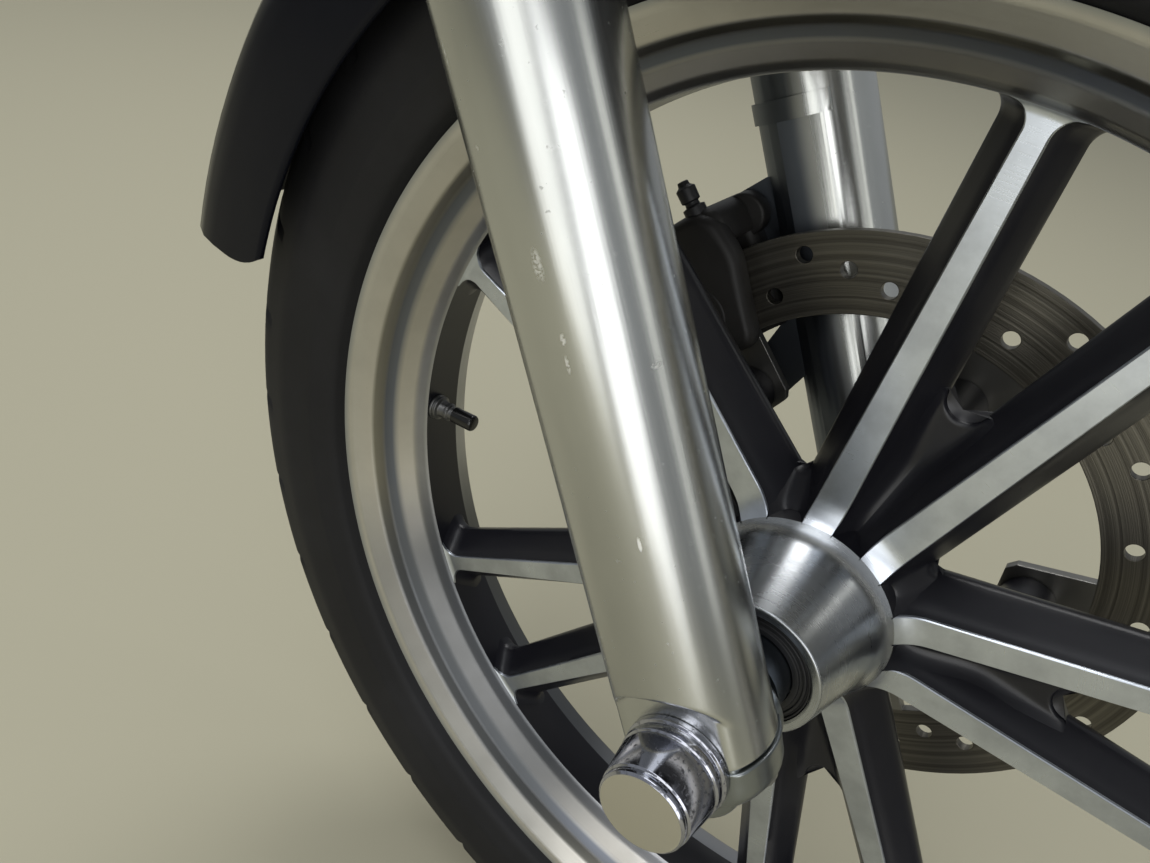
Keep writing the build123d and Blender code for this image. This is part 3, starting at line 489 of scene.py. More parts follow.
# place ahead, across and up the leg, and the patch's half sizes
legNicks = (
    ((2.0, -135.6, 184.5), (2.2, 6.0, 6.5)), ((4.2, -135.4, 161.4), (1.2, 4.0, 2.4)),
    ((3.6, -135.5, 153.6), (0.9, 4.0, 3.6)), ((25.2, -120.6, 147.1), (1.6, 3.0, 1.2)),
    ((-14.8, -131.5, 247.1), (0.7, 3.0, 5.5)), ((-10.5, -133.7, 220.7), (0.8, 3.0, 1.2)),
    ((12.0, -133.0, 92.0), (0.7, 3.0, 3.0)),
)
# the spokes' alloy is tinted blue: a painted bluish reflection in place of the beige floor's
spokeAlloyReflectionTinted = turnedAlloyMaterial("spoke_alloy_tinted_reflection", (0.60, 0.64, 0.70), 0.3, 0.08)
hubAlloy = turnedAlloyMaterial("hub_alloy", (0.48, 0.50, 0.52), 0.27, 0.07)
rimAlloy = rimMaterial("rim_alloy", rimLook)
blackPaint = paintMaterial("black_wheel_paint", (0.0065, 0.0065, 0.0095), 0.34, dust=0.1, specular=0.45)
tyreRubber = rubberMaterial("tyre_rubber", (0.0065, 0.0065, 0.0075), 0.6, 0.3)
blackRubber = rubberMaterial("black_rubber", (0.008, 0.008, 0.009), 0.5)
blackPlastic = paintMaterial("black_plastic", (0.006, 0.006, 0.006), 0.18)
legMetal = legMetalMaterial("leg_alloy", (0.55, 0.56, 0.545), 0.24, nicks=legNicks)
capMetal = legMetalMaterial("cap_alloy", (0.27, 0.29, 0.295), 0.3)
legCastMetal = legMetalMaterial("leg_alloy_left", (0.60, 0.61, 0.59), 0.25, (0.13, 0.145, 0.17))
castMetal = plainMetalMaterial("cast_alloy", (0.42, 0.42, 0.42), 0.42)
# chrome darker and bluer than the fork tubes' chrome: the darkening is a painted dark reflection
chromeDarkenedReflection = plainMetalMaterial("chrome", (0.42, 0.43, 0.49), 0.1, 0.8)
satinMetal = plainMetalMaterial("satin_end", (0.66, 0.64, 0.58), 0.3)
tubeMetal = plainMetalMaterial("tube_chrome", (0.66, 0.66, 0.68), 0.12)
boltMetal = plainMetalMaterial("zinc_steel", (0.42, 0.42, 0.41), 0.35, 0.5)
stemMetal = plainMetalMaterial("valve_metal", (0.16, 0.16, 0.16), 0.4, 0.5)
spacerMetal = plainMetalMaterial("spacer_steel", (0.11, 0.125, 0.145), 0.36)
discMetal = discMaterial("disc_steel")
caliperPaint = paintMaterial("caliper_paint", (0.017, 0.016, 0.015), 0.5, 500.0, 0.0003, specular=0.3)
bracketPaint = paintMaterial("bracket_paint", (0.012, 0.012, 0.013), 0.4)
yokePaint = paintMaterial("yoke_paint", (0.014, 0.014, 0.015), 0.38)
fenderPaint = paintMaterial("fender_paint", (0.0018, 0.0024, 0.006), 0.2, 300.0, 0.00003, 0.05, 0.2)
padMaterial = paintMaterial("pad_lining", (0.06, 0.05, 0.045), 0.8, 700.0, 0.0004)
print("materials made")


# Cast wheel

wheel = {
    # near side from the hub's mouth to the rim's lip: radius, y, bend
    "near": ((26.8, -65.2, 0), (27.6, -66.0, 0.7), (31.0, -66.0, 1.2), (44.0, -14.5, 19.5), (223.0, -6.2, 5.0),
             (226.9, -13.6, 9.0), (233.5, -20.9, 12.0), (239.0, -25.0, 6.0), (242.0, -30.6, 6.0),
             (251.0, -36.3, 10.0), (255.3, -37.9, 0)),
    "wallRadius": 45.5,
    "windowRadius": 223.0,
    "pairs": 5,
    "firstAngle": 77.0,
    "rootRadius": 44.0,
    "offset": 6.5,
    "splay": 0.1644,
    "rootWidth": 14.0,
    "tipWidth": 8.9,
    "corner": 9.0,
    "edge": 0.45,
    # black walls slope from a face's edge to that depth, that far outside it
    "slopeEndY": 7.0,
    "slope": 11.0,
    # radii of a spoke's rows, and how far the first and last sink into the hub and the rim
    "spokeRows": (44.3, (45.5, 60, 14), (66, 212, 22), (214, 223.0, 14), 225.0),
    "sunk": (4, 3),
    # one side of a spoke's section: share of the way down the slope, then millimetres outside it and past it
    "spokeSide": ((0, 0, 0.45), (0.02, 0, 0.9), (0.2, 0, 0), (0.4, 0, 0), (0.6, 0, 0), (0.8, 0, 0), (0.95, 0, 0),
                  (1, 0.1, 0.8), (1, -0.1, 2.8), (1, -1.0, 5.4), (1, -2.6, 7.3), (1, -5.0, 8.0)),
    # floors between spokes: their start, end and softness at both; then distance from the axle and length of the
    # fall, first depth, fall and its straight share
    "webStart": 44.5,
    "pairWeb": (108.0, (3.2, 1.5), (44.0, 40.0, -5.0, 9.5, 0.0)),
    "gapWeb": (57.5, (3.0, 1.5), (45.5, 14.0, -11.0, 16.5, 0.6)),
    # shares of its length where the rows lie
    "webRows": ((0, 0.8, 17), (0.82, 0.96, 8), 0.97, 0.98, 0.987, 0.993, 0.997, 1),
    "webLip": 2.0,
    "webBackY": 11.5,
    "underWall": 0.5,
    # steps of a floor's end onward and into the spoke
    "onward": ((2.0, 0.8), (4.0, 3.5)),
    # back of the hub and of the rim, round to the near side's start: radius, y, bend
    "hubBack": ((45.5, 15.0, 0), (45.5, 18.0, 0), (33.6, 56.6, 0), (32.4, 58.0, 0), (27.2, 58.0, 0), (26.6, 57.4, 0),
                (26.6, 52.0, 0), (26.1, 52.0, 0), (26.1, 37.0, 0), (19.5, 37.0, 0), (19.5, -45.0, 0),
                (26.1, -45.0, 0), (26.1, -60.0, 0), (26.6, -60.0, 0)),
    "rimBack": ((255.3, -35.8, 0.5), (243.0, -28.6, 2), (240.3, -22.1, 2), (229.0, -12.1, 4), (229.0, 12.1, 4),
                (240.3, 22.1, 2), (241.3, 31.1, 3), (255.3, 35.1, 0.6), (255.3, 37.9, 1.0), (251.3, 37.9, 1.5),
                (247.3, 36.0, 2), (238.0, 33.2, 3), (226.0, 29.5, 2), (223.0, 17.5, 2.5)),
    # black places: between the spokes' roots and behind them, and the window's ring and the tyre's well;
    # least and most radius, least and most y
    "hubBlack": ((45, 99, -19.4, 99), (30, 99, 14.9, 57)),
    "rimBlack": ((0, 223.6, -5.5, 17.8), (228, 999, -12.2, 12.2)),
    # bosses behind the spokes that carry the disc
    "bossRadius": 86.0,
    "boss": ((0, 8.0, 0), (15.5, 8.0, 0), (15.5, 14.0, 0), (13.0, 18.0, 3), (13.0, 64.5, 0.8), (4.2, 64.5, 0),
             (4.2, 44.0, 0), (0, 42.0, 0)),
}
wheelPlace = ("wheel", "wheel_metal", "cast_wheel")
wallRadius, windowRadius = wheel["wallRadius"], wheel["windowRadius"]
nearProfile = bentPath(wheel["near"], False, 14)
pairAngles = np.radians(wheel["firstAngle"] + 360 / wheel["pairs"] * np.arange(wheel["pairs"]))


def faceY(radius):
    # height of the turned near side at a distance from the axle
    return np.interp(radius, nearProfile[:, 0], nearProfile[:, 1])


def spokeWidth(along):
    # width of the turned face, tapering from the root to the tip
    share = (along - wheel["rootRadius"]) / (windowRadius - wheel["rootRadius"])
    return wheel["rootWidth"] + (wheel["tipWidth"] - wheel["rootWidth"]) * share


def turnAbout(grid, angle):
    # turn (along, y, across) about the axle, from +X towards +Z
    x = grid[..., 0] * math.cos(angle) - grid[..., 2] * math.sin(angle)
    z = grid[..., 0] * math.sin(angle) + grid[..., 2] * math.cos(angle)
    return np.stack([x, grid[..., 1], z], axis=-1)


def spokeGrid(side):
    # a row is a closed loop of face, sloping wall, back and sloping wall, at one radius;
    # across = offset + splay * along + share * width / 2 + slope, with a round flare R(1 - cos) at the rim
    down, out, past = np.array(wheel["spokeSide"]).T
    top, sides = np.linspace(-1, 1, 7), np.ones(len(down))
    share = np.concatenate([top, sides, -top, -sides])
    inset = np.concatenate([0 * top + wheel["edge"], 0 * sides, 0 * top, 0 * sides])
    depth = np.concatenate([0 * top, down, 0 * top + 1, down[::-1]])
    extra = np.concatenate([0 * top, past, 0 * top + past[-1], past[::-1]])
    wall = down * wheel["slope"] + out
    wide = np.concatenate([0 * top, wall, -top * wall[-1], -wall[::-1]])
    radius = spaced(wheel["spokeRows"])[:, None] + 0 * share
    gap = np.clip((windowRadius - radius) / wheel["corner"], 0, 1)
    flare = wheel["corner"] * (1 - np.sqrt(np.maximum(1 - (1 - gap) ** 2, 0)))
    along = radius.copy()
    for _ in range(6):  # across and along depend on each other, and settle in a few rounds
        half = spokeWidth(along) / 2 + flare - inset
        across = wheel["offset"] + wheel["splay"] * along + share * half + wide
        along = np.sqrt(np.maximum(radius ** 2 - across ** 2, 0))
    face = faceY(np.minimum(radius, windowRadius))
    face[0], face[-1] = face[1] + wheel["sunk"][0], face[-2] + wheel["sunk"][1]
    y = face + (wheel["slopeEndY"] - face) * depth + extra
    return cappedLoops(np.stack([along, y, side * across], axis=-1))


def floorY(radius, start, length, first, fall, straight):
    # depth of a floor between spokes: first + fall * (a straight share t and an eased share t t (3 - 2 t))
    share = np.clip((radius - start) / length, 0, 1)
    return first + fall * (share * share * (3 - 2 * share) * (1 - straight) + share * straight)


def webGrid(end, soft, floorOf, slope, offset):
    # floor between two spokes whose faces stand offset + slope * along to either side: straight lines from the
    # hub's edge to a U-shaped end, an arc R = foot cos(lean) / (1 - sin(lean)) that touches the feet of both
    # walls and goes on into the spokes; height is a smooth minimum -s log(e^(-wall / s) + e^(-floor / s)) of the
    # walls and the floor, and rolls over lip (1 - sqrt(1 - near^2)) as near grows to 1 within the lip at the end
    start, lip = wheel["webStart"], wheel["webLip"]
    t = spaced(wheel["webRows"])[:, None]
    lean = math.atan(slope)
    endRadius = (offset - wheel["slope"] + slope * end) * math.cos(lean) / (1 - math.sin(lean))
    turn = np.linspace(lean - math.pi / 2, math.pi / 2 - lean, 41)
    arc = np.stack([end + endRadius * (1 - np.cos(turn)), endRadius * np.sin(turn)], axis=1)
    footWay = [[math.cos(lean), math.sin(lean)], [-math.sin(lean), math.cos(lean)]]
    onward = arc[-1] + np.array(wheel["onward"]) @ footWay
    arc = np.concatenate([onward[::-1] * (1, -1), arc, onward])
    wide = offset + slope * start + wheel["underWall"]
    root = np.stack([0 * arc[:, 0] + start, wide * arc[:, 1] / arc[-1, 1]], axis=1)
    place = root[None] + t[..., None] * (arc - root)[None]
    along, across = place[..., 0], place[..., 1]
    radius, half = np.hypot(along, across), offset + slope * along
    face = faceY(radius)
    wall = face + (half - np.abs(across)) / wheel["slope"] * (wheel["slopeEndY"] - face) + wheel["underWall"]
    floor = floorY(radius, *floorOf)
    soften = soft[0] + (soft[1] - soft[0]) * t ** 3
    near = np.clip(1 - (1 - t) * np.linalg.norm(arc - root, axis=1)[None] / lip, 0, 1)
    height = -soften * np.logaddexp(-wall / soften, -floor / soften) + lip * (1 - np.sqrt(1 - near ** 2))
    top = np.stack([along, height, across], axis=-1)
    bottom = top[:, ::-1].copy()
    bottom[..., 1] = wheel["webBackY"]
    return cappedLoops(np.concatenate([top, bottom], axis=1))


# the edges of a spoke's face as lines across = offset + slope * along, seen along the pair's middle
taper = (wheel["tipWidth"] - wheel["rootWidth"]) / 2 / (windowRadius - wheel["rootRadius"])
innerSlope, outerSlope = wheel["splay"] - taper, wheel["splay"] + taper
innerOffset, outerOffset = wheel["offset"] - spokeWidth(0) / 2, wheel["offset"] + spokeWidth(0) / 2
# the outer edge again, seen from the middle of the gap between two pairs
gapTurn = math.pi / wheel["pairs"]
gapCos, gapSin = math.cos(gapTurn), math.sin(gapTurn)
gapSlope = (gapSin - gapCos * outerSlope) / (gapCos + gapSin * outerSlope)
gapOffset = -(gapCos * outerOffset) - gapSlope * gapSin * outerOffset

spokes = [turnAbout(spokeGrid(side), angle) for angle in pairAngles for side in (-1, 1)]
spokeKinds = np.ones(2 * (7 + len(wheel["spokeSide"])), int)  # black walls and back
spokeKinds[[*range(8), -2, -1]] = 0  # turned face and its edges
addLoops("wheel_spokes", spokes, (spokeAlloyReflectionTinted, blackPaint), 28, *wheelPlace, spokeKinds)

pairWeb = webGrid(*wheel["pairWeb"], innerSlope, innerOffset)
gapWeb = webGrid(*wheel["gapWeb"], gapSlope, gapOffset)
webs = [turnAbout(pairWeb, angle) for angle in pairAngles]
webs += [turnAbout(gapWeb, angle + gapTurn) for angle in pairAngles]
addLoops("wheel_webs", webs, (blackPaint,), 40, *wheelPlace)


def within(boxes):
    # a test for places inside one of the boxes
    return lambda r, y: np.any([(r > a) & (r < b) & (y > c) & (y < d) for a, b, c, d in boxes], axis=0)


hubOutline = [(r, y, 0) for r, y in nearProfile if r < wallRadius]
hubOutline += [(wallRadius, float(faceY(wallRadius)), 0), *wheel["hubBack"]]
addTurned("wheel_hub", hubOutline, 240, (hubAlloy, blackPaint), *wheelPlace, within(wheel["hubBlack"]))
rimOutline = [(windowRadius, float(faceY(windowRadius)), 0)]
rimOutline += [*[(r, y, 0) for r, y in nearProfile if r > windowRadius], *wheel["rimBack"]]
addTurned("wheel_rim", rimOutline, 360, (rimAlloy, blackPaint), *wheelPlace, within(wheel["rimBlack"]))
boss = bentPath(wheel["boss"], True, 5)
bosses = [turnedGrid(boss, 48, wheel["bossRadius"] * np.array([math.cos(angle), 0, math.sin(angle)]))
          for angle in pairAngles]
addLoops("wheel_bosses", bosses, (blackPaint,), 35, *wheelPlace, closeRows=True)
print("wheel made")


# Tyre

tyre = {
    "pitches": 36,
    "chevron": 0.10,
    "grooveDepth": 4.5,
    # share of a pitch and of the groove's depth there
    "groove": ((0, 0), (0.012, 0.5), (0.028, 1), (0.075, 1), (0.122, 1), (0.138, 0.5), (0.15, 0), (0.3, 0), (0.5, 0),
               (0.7, 0), (0.85, 0)),
    # radius in the middle of the tread, at its edge and where the side's rows end
    "crown": 333.9,
    "treadEdge": 309.0,
    "sideEnd": 306.0,
    # place, width and depth of the round grooves beside the middle band
    "ring": (0.30, 0.035, 2.6),
    # rub ribs on the side: first and last radius, spacing, height
    "ribs": (262, 272, 4.2, 0.35),
    # outer and inner outline of one side: radius, y, bend
    "outer": ((241.8, -26.5, 0), (254.2, -35.0, 2.0), (256.4, -38.6, 1.0), (259.0, -43.4, 4.0), (272.0, -48.4, 18.0),
              (291.0, -50.0, 22.0), (309.0, -45.7, 12.0), (323.4, -32.0, 30.0), (333.9, -9.0, 30.0), (333.9, 0, 0)),
    "inner": ((241.8, -21.0, 0), (262.0, -36.0, 10.0), (300.0, -40.0, 16.0), (322.0, -16.0, 20.0), (324.0, 0, 0)),
}


def tyreGrid():
    # outline round the section, turned about the axle in sheared columns, so that the slanting grooves follow
    # the grid: angle = column + chevron * distance from the middle; groove depth by place in its pitch
    pitches, outer = tyre["pitches"], bentPath(tyre["outer"], False, 9)
    fine = np.concatenate([[0], np.cumsum(np.hypot(*np.diff(outer, axis=0).T))])
    sideEnd = fine[np.argmax(outer[:, 0] > tyre["sideEnd"])]
    stations = np.concatenate([np.linspace(0, sideEnd, 34)[:-1], np.linspace(sideEnd, fine[-1], 30)])
    outer = np.stack([np.interp(stations, fine, outer[:, 0]), np.interp(stations, fine, outer[:, 1])], axis=1)
    inner = bentPath(tyre["inner"], False, 4)
    mirror = np.array([1, -1])
    section = np.concatenate([outer, outer[-2::-1] * mirror, inner[:-1] * mirror, inner[::-1]])
    isOuter = np.arange(len(section)) < 2 * len(outer) - 1
    # place across the tread, 0 in the middle and 1 at its edge
    across = np.clip((tyre["crown"] - section[:, 0]) / (tyre["crown"] - tyre["treadEdge"]), 0, 2)
    across = np.where(isOuter, np.sqrt(across), 2)
    pitch, cut = np.array(tyre["groove"]).T
    columns = ((np.arange(pitches)[:, None] + pitch) / pitches).reshape(-1, 1)
    depth = np.tile(cut, pitches)[:, None] * tyre["grooveDepth"]
    side = np.sign(section[:, 1])
    # grooves begin beside the middle and end past the tread's edge; one side's stand half a pitch on
    reach = np.clip((across - 0.16) / 0.05, 0, 1) * np.clip((1.12 - across) / 0.06, 0, 1)
    halfPitch = (side > 0) * isOuter * math.pi / pitches
    angle = 2 * math.pi * columns + tyre["chevron"] * across * isOuter + halfPitch
    middle, width, ringDepth = tyre["ring"]
    ring = np.exp(-((across - middle) / width) ** 2) * isOuter
    radius = section[:, 0] - depth * reach - ringDepth * ring
    first, last, spacing, height = tyre["ribs"]
    ribs = height * np.sin((section[:, 0] - first) * 2 * math.pi / spacing)
    ribs = ribs * (section[:, 0] > first) * (section[:, 0] < last)
    y = section[:, 1] + side * np.maximum(ribs, 0) * isOuter + 0 * angle
    return np.stack([radius * np.cos(angle), y, radius * np.sin(angle)], axis=-1)


addLoops("tyre_road", [tyreGrid()], (tyreRubber,), 35, "wheel", "tyre", "tyre", closeRows=True)
print("tyre made")


# Right fork leg

leg = {
    # distances up the leg where the rows lie, and radius by them: worn lower edge, tube and collar
    "rows": (0, 0.1, 0.35, 0.8, (1.6, 44, 70), (50, 366, 40), 368, 370, 372, 374.5, 376, 385, 396, 398.5, 399.6, 400),
    "outline": ((0, 27.8), (0.1, 28.2), (0.35, 28.5), (0.8, 28.6), (366, 28.6), (374, 31.0), (398, 31.0),
                (400, 29.2)),
    "bore": ((27.0, 400.0), (24.8, 399.0), (24.8, 70.0), (0.5, 70.0)),
    # axle seat: its face, its radius about the axle, then its wall: start before the radius, width, depth, power
    "seatY": -126.0,
    "seatRadius": 31.6,
    "seatWall": (2.5, 4.5, 14, 1.6),
    # it is cut where the front's cosine is above the first, and stands out by the second at most
    "seatReach": (0.2, 30),
    "soft": 1.6,
    "columns": 288,
}


def seated(s, radius):
    # rows round the leg at distances s up it, one radius each; y = smooth maximum of the round front and the
    # axle seat, where the seat is flat within its radius of the axle and climbs steeply outside it
    s, around = np.meshgrid(s, circle(leg["columns"]), indexing="ij")
    radius = np.asarray(radius)[:, None]
    p, y = radius * np.sin(around), -legY - radius * np.cos(around)
    before, width, depth, power = leg["seatWall"]
    seat = leg["seatY"] - depth * np.clip((np.hypot(p, s) - leg["seatRadius"] + before) / width, 0, 1) ** power
    high = np.maximum(y, seat) + leg["soft"] * np.log1p(np.exp(-np.abs(y - seat) / leg["soft"]))
    front, most = leg["seatReach"]
    return onFork(p, np.where(np.cos(around) > front, np.minimum(high, y + most), y), s)


# the outside from the worn lower edge to the collar, then the bore down to its floor
s, bore, around = spaced(leg["rows"]), np.array(leg["bore"]), circle(leg["columns"])
outside = seated(s, np.interp(s, *np.array(leg["outline"]).T))
inside = onFork(bore[:, :1] * np.sin(around), -legY - bore[:, :1] * np.cos(around), bore[:, 1:] + 0 * around)
grids = [cappedLoops(np.concatenate([outside, inside]))]
addLoops("leg_right", grids, (legMetal,), 40, "fork", "slider_metal", "slider_right")
mergedCopy("leg_left", "slider_left", "fork", legCastMetal, 0.8)

cap = {
    # the foot's radius by the distance up the leg; a round plate: place up the leg, radius, two faces and edge
    "foot": ((-1.0, 28.9), (-1.15, 29.3), (-1.5, 29.6), (-2.1, 29.6), (-4.0, 29.2), (-8.0, 28.8), (-11.5, 28.6),
             (-13.5, 27.9), (-15.5, 26.2), (-17.3, 23.6), (-18.6, 20.6), (-19.3, 17.0)),
    "plate": (-3.5, 23.0, -125.3, -82.6, 3.5),
    # stud places ahead and across, and up the leg
    "studs": ((20.0, -104.0, -16.8), (-20.0, -104.0, -16.8)),
}
foot = np.array(cap["foot"])
ring, outward = hullOf(((0, *cap["plate"][:2]),), 160)
grids = [cappedLoops(seated(foot[:, 0], foot[:, 1])), plateOnFork(plateGrid(ring, *cap["plate"][2:], outward))]
addLoops("clamp_cap", grids, (capMetal,), 40, "fork", "slider_metal", "axle_clamp_right")


# Axle covers, seals and spacers

cover = {
    "baseY": 126.1,
    "length": 27.3,
    # near the surface: how far outside the tip's radius, distance from the base, bend
    "outline": ((4.4, 0.0, 0.3), (4.4, 2.6, 0.5), (3.2, 3.2, 0.3), (3.2, 4.4, 0.3), (4.0, 5.0, 0.5), (3.7, 7.4, 0.5),
                (2.9, 7.9, 0.25), (2.9, 8.7, 0.25), (3.3, 9.2, 0.5), (1.4, 23.6, 0.3), (0.7, 24.1, 0.2),
                (0.7, 24.9, 0.2), (0.9, 25.4, 0.3), (0.7, 26.5, 0.5), (-0.1, 27.3, 0.4)),
    "tipRadius": 16.0,
    # the end face's middle and the hollow: radius, distance from the base, bend
    "inside": ((0, 27.3, 0), (0, 24.9, 0), (13.8, 24.9, 0), (13.8, 1.0, 0), (18.0, 0.0, 0)),
    "satinRadius": 15.7,
}
for name, side in (("right", -1), ("left", 1)):
    outline = [(cover["tipRadius"] + out, cover["baseY"] + along, bend) for out, along, bend in cover["outline"]]
    outline += [(radius, cover["baseY"] + along, bend) for radius, along, bend in cover["inside"]]
    end = cover["baseY"] + cover["length"] - 0.1
    addTurned("cover_" + name, outline, 160, (chromeDarkenedReflection, satinMetal), "fork", "chrome", "axle_cover_" + name,
              lambda r, y: (y > end) & (r < cover["satinRadius"]), axis=(0, side, 0))

# radius, distance under the seal's face, bend
sealOutline = [(18.9, 0, 0.2), (21.4, 0, 0.3), (21.8, 1.2, 0.3), (23.0, 1.2, 0.2), (23.4, 0.4, 0.3), (24.4, 0.4, 0.3),
               (24.8, 1.4, 0.2), (25.4, 1.4, 0.2), (25.7, 0.2, 0.2), (26.4, 0.2, 0.2), (26.4, 4.9, 0), (18.9, 4.9, 0)]
for name, side, start in (("right", -1, 65.0), ("left", 1, 57.0)):
    outline = [(r, start - along, bend) for r, along, bend in sealOutline]
    addTurned("seal_" + name, outline, 140, (blackRubber,), "wheel", "rubber_black", "hub_seal_" + name,
              axis=(0, side, 0), steps=3)


# Valve

valve = {
    "angle": math.radians(-175.8),
    # radius, height above the rim, bend
    "stem": ((0, -12, 0), (3.9, -12, 0), (3.9, 0.1, 0), (7.0, 0.1, 0.5), (7.0, 1.6, 0.4), (6.0, 2.0, 0.2),
             (6.0, 2.6, 0.2), (6.7, 3.0, 0.3), (6.7, 4.0, 0.3), (4.9, 4.6, 0.3), (4.5, 8.5, 0.3), (5.0, 9.0, 0.2),
             (5.0, 10.5, 0.2), (3.9, 11.2, 0.2), (3.9, 14.6, 0), (0, 14.6, 0)),
    "cap": ((0, 13.4, 0), (4.5, 13.4, 0.3), (4.6, 26.0, 0.9), (4.0, 27.0, 0.6), (0, 27.0, 0)),
}
inward = np.array([-math.cos(valve["angle"]), 0, -math.sin(valve["angle"])])
seat = -windowRadius * inward
for name, finish in (("stem", stemMetal), ("cap", blackPlastic)):
    addTurned("valve_" + name, valve[name], 64, (finish,), "wheel", "rubber_black", "valve",
              centre=seat, axis=inward, steps=4)
print("legs, axle and valve made")


# Pieces that keep their CAD shape with softened edges

mergedCopy("disc_drilled", "brake_disc", "wheel", discMetal, 0.5)
mergedCopy("yoke_lower", "lower_yoke", "fork", yokePaint, 1.0)
mergedCopy("yoke_upper", "upper_yoke", "fork", castMetal, 1.0)
for name in ("right", "left"):
    mergedCopy("bracket_" + name, "fender_bracket_" + name, "fork", bracketPaint, 0.5)
    mergedCopy("tube_cap_" + name, "fork_cap_" + name, "fork", chromeDarkenedReflection, 0.6)
mergedCopy("nut_stem", "stem_nut", "fork", chromeDarkenedReflection, 0.6)
mergedCopy("fender_shell", "fender", "fork", fenderPaint, 0)

caliper = {
    "turn": math.radians(122),
    "radius": 165.0,
    # outlines as (distance round at that radius, radius from the axle, bend), then near and far face, edge
    "near": (((-58, 175.8, 15), (-64.5, 150, 30), (-54.5, 106.8, 10), (60, 106.8, 13), (62, 175.8, 17)),
             42.0, 57.0, 5.5),
    "bridge": (((-60.5, 157.0, 3), (60.5, 157.0, 3), (60.5, 176.4, 9), (-60.5, 176.4, 9)), 46.0, 97.0, 6.0),
    "far": (((-60, 175.8, 15), (-60, 106.8, 10), (60, 106.8, 13), (60, 175.8, 17)), 77.0, 100.0, 6.0),
    # ears as hulls of discs ahead and up the leg, then near and far face, edge
    "ears": (((-34.9, 161.5, 10.9), (-68, 129.5, 2), (-68, 155.5, 2)),
             ((-56.9, 61.8, 10.9), (-72, 85.8, 2), (-72, 125.8, 2))),
    "earFaces": (78.6, 88.6, 1.6),
    # round bosses over the pistons: degrees from the middle, distance from the axle, radius, bend;
    # then start, end and how far the near ones stop short of it
    "pistons": (-9.0, 9.0),
    "pistonRadius": 131.6,
    "pistonBoss": (16.0, 2.2),
    "pistonEnds": ((47.0, 39.0, 2.4), (95.0, 103.0, 0.0)),
}


def roundAxle(grid):
    # a plate drawn as (distance round, radius): angle = turn + distance / radius of the table
    angle = caliper["turn"] + grid[..., 0] / caliper["radius"]
    return onFork(grid[..., 1] * np.cos(angle), grid[..., 2], grid[..., 1] * np.sin(angle))


grids = [roundAxle(plateGrid(evenly(bentPath(outline, True, 10), 200), near, far, edge))
         for outline, near, far, edge in (caliper["near"], caliper["bridge"], caliper["far"])]
for discs in caliper["ears"]:
    outline, outward = hullOf(discs)
    grids.append(plateOnFork(plateGrid(outline, *caliper["earFaces"], outward)))
bossRadius, bend = caliper["pistonBoss"]
for turn in caliper["pistons"]:
    angle = caliper["turn"] + math.radians(turn)
    middle = caliper["pistonRadius"] * onFork(math.cos(angle), 0, math.sin(angle))
    for start, end, short in caliper["pistonEnds"]:
        boss = bentPath(((0, start, 0), (bossRadius, start, 0), (bossRadius, end + short, bend), (0, end + short, 0)))
        grids.append(turnedGrid(boss, 96, centre=middle).transpose(1, 0, 2))
addLoops("caliper_body", grids, (caliperPaint,), 40, "fork", "caliper_paint", "caliper")

nipple = {"turn": math.radians(105), "radius": 176.3, "y": 52.0,
          # radius, height over the caliper, bend
          "outline": ((0, -2, 0), (5.6, -2, 0), (5.6, 2.6, 0.4), (3.6, 3.2, 0.3), (3.4, 5.0, 0.3), (4.7, 5.6, 0.5),
                      (4.9, 12.0, 0.6), (3.0, 13.4, 0.6), (2.6, 15.6, 0.5), (0, 15.8, 0))}
outward = onFork(math.cos(nipple["turn"]), 0, math.sin(nipple["turn"]))
addTurned("nipple_cap", nipple["outline"], 64, (blackRubber,), "fork", "rubber_black", "bleed_nipple",
          steps=4, axis=outward, centre=outward * nipple["radius"] + acrossWheel * nipple["y"])

fasteners = {
    # places ahead, across and up the leg; the way the heads stand; flat radius; head height;
    # 1 for the places themselves, -1 for their mirror on the other side
    "bolts": (
        (((-34.9, 98.9, 161.5), (-56.9, 98.9, 61.8)), acrossWheel, 8.0, 7.5, (1,)),
        (((0.0, -67.0, 275.0), (0.0, -67.0, 318.0)), acrossWheel, 6.0, 5.0, (1, -1)),
        (cap["studs"], -alongLeg, 4.2, 3.6, (1,)),
        (((-39.0, -120.1, 602.5), (-39.0, -120.1, 792.0)), -acrossWheel, 5.0, 5.0, (1, -1)),
    ),
    # washer's, corner's and top's radius for a flat radius of 1
    "shares": (1.35, 1.13, 0.92),
    "washer": 1.2,
}


def boltGrid(place, way, flat, height):
    # a washer, sunk by 1 mm, and a six-sided head with a turned top
    washer, corner, top = [flat * share for share in fasteners["shares"]]
    thick = fasteners["washer"]
    profile = bentPath(((0, -1.0, 0), (washer, -1.0, 0), (washer, thick, 0.3), (corner, thick, 0),
                        (corner, height - 0.8, 0), (top, height, 0.3), (0, height, 0)), True, 3)
    grid = turnedGrid(profile, 72, centre=onFork(*place), axis=way, sides=6, sidesFrom=(flat, thick + 0.05))
    return grid.transpose(1, 0, 2)


grids = [boltGrid((p, side * y, s), side * way, flat, height)
         for places, way, flat, height, sides in fasteners["bolts"] for side in sides for p, y, s in places]
addLoops("fork_fasteners", grids, (boltMetal,), 30, "fork", "bolt_steel")
print("caliper and fasteners made")

# CAD nodes shown as they are
nodeFinishes = (
    (boltMetal, ("axle", "axle_nut", "steering_stem", "disc_bolts", "head_cup_lower", "head_cup_upper",
                 "head_race_lower", "head_race_upper", "bearing_right", "bearing_left")),
    (spacerMetal, ("spacer_right", "spacer_left")),
    (tubeMetal, ("fork_tube_right", "fork_tube_left")),
    (blackRubber, ("dust_seal_right", "dust_seal_left")),
    (padMaterial, ("brake_pads",)),
)
for finish, nodes in nodeFinishes:
    for node in nodes:
        for slot in frame["nodes"][node].material_slots:
            slot.material = finish
print("finishes given")


# Floor, world and lamps

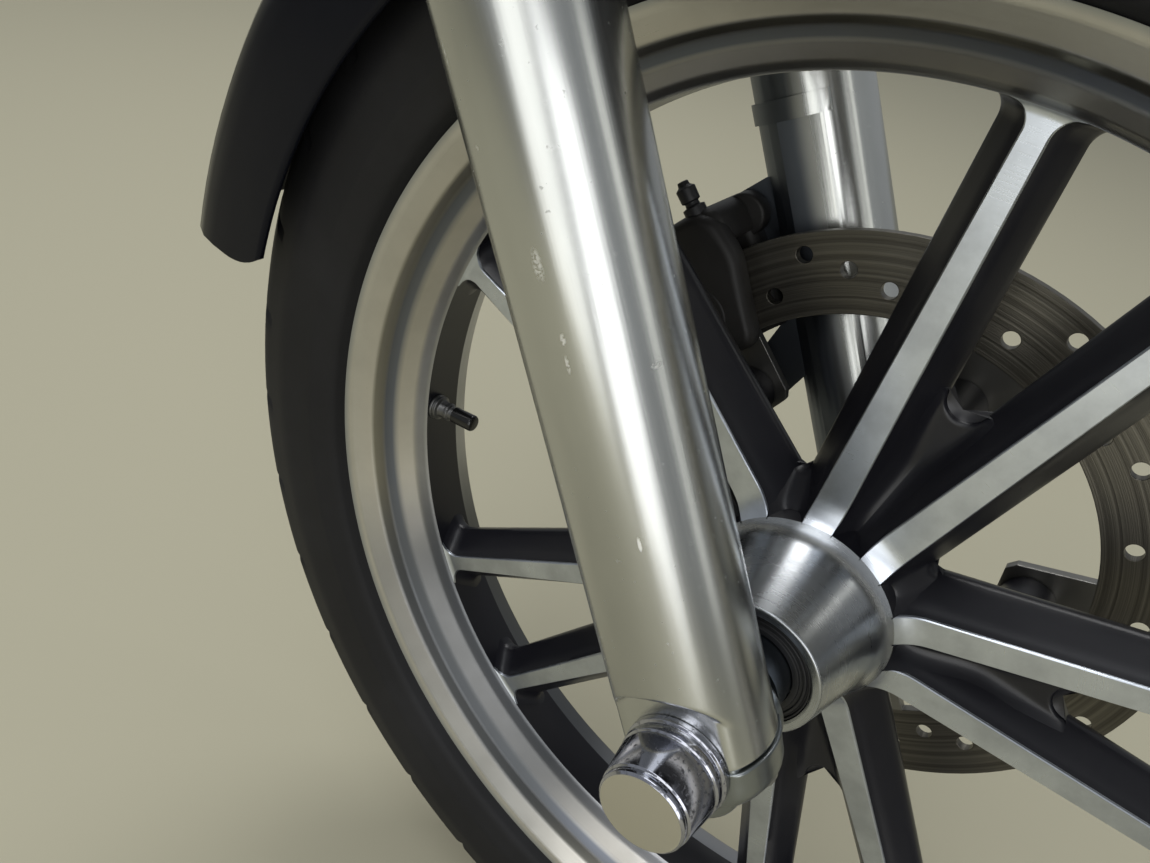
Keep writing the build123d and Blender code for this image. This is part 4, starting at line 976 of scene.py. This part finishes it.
def addLamp(name, azimuth, elevation, wide, high, brightness, colour):
    # a softbox seen from the wheel centre in that direction, its width and height as angles in degrees;
    # power = brightness * pi * area
    turn, climb = math.radians(azimuth), math.radians(elevation)
    away = np.array([math.cos(turn) * math.cos(climb), math.sin(turn) * math.cos(climb), math.sin(climb)])
    distance = room["lampDistance"] * mm
    width, height = [2 * distance * math.tan(math.radians(angle / 2)) for angle in (wide, high)]
    data = bpy.data.lights.new(name, "AREA")
    setAll(data, shape="RECTANGLE", size=width, size_y=height, energy=brightness * math.pi * width * height,
           color=colour)
    lamp = addObject(name, data)
    side = np.cross((0, 0, 1), away)
    side /= np.linalg.norm(side)
    facing = Matrix(np.stack([side, np.cross(away, side), away], axis=1).tolist()).to_4x4()
    lamp.matrix_world = Matrix.Translation(wheelCentre + away * distance) @ facing


# name, azimuth, elevation, wide, high, brightness, colour
lamps = (
    ("side_tall", -50, 13, 26, 38, 2.5, (1, 1, 1)),
    ("side_dim", -84, 13, 25, 38, 1.8, (1, 1, 0.97)),
    ("front_strip", 3, 22, 8, 40, 1.3, (1, 1, 0.93)),
    ("top_left", 122, 58, 26, 22, 5.0, (1, 1, 1)),
    ("low_left", 147, 27, 5, 9, 4.0, (1, 0.93, 0.75)),
    ("small_front", 35, 41, 4, 6, 6.0, (1, 0.98, 0.9)),
    ("near_top", -107, 46, 26, 12, 4.0, (1, 1, 1)),
    ("high_near", -140, 70, 40, 26, 1.8, (0.93, 0.96, 1)),
)
size, z = room["halfSize"], room["floorZ"]
corners = np.array([(-size, -size, z), (size, -size, z), (size, size, z), (-size, size, z)])
material = startMaterial("floor", room["floorColour"], 0.0, room["floorRoughness"])[0]
addObject("floor", makeMesh("floor", corners, np.array([[0, 1, 2, 3]]), None, (material,), 30))
world = bpy.data.worlds.new("room")
bpy.context.scene.world = world
world.use_nodes = True
background = world.node_tree.nodes["Background"].inputs
background["Color"].default_value = (*room["worldColour"], 1)
background["Strength"].default_value = room["worldStrength"]
for lamp in lamps:
    addLamp(*lamp)
print("room made")
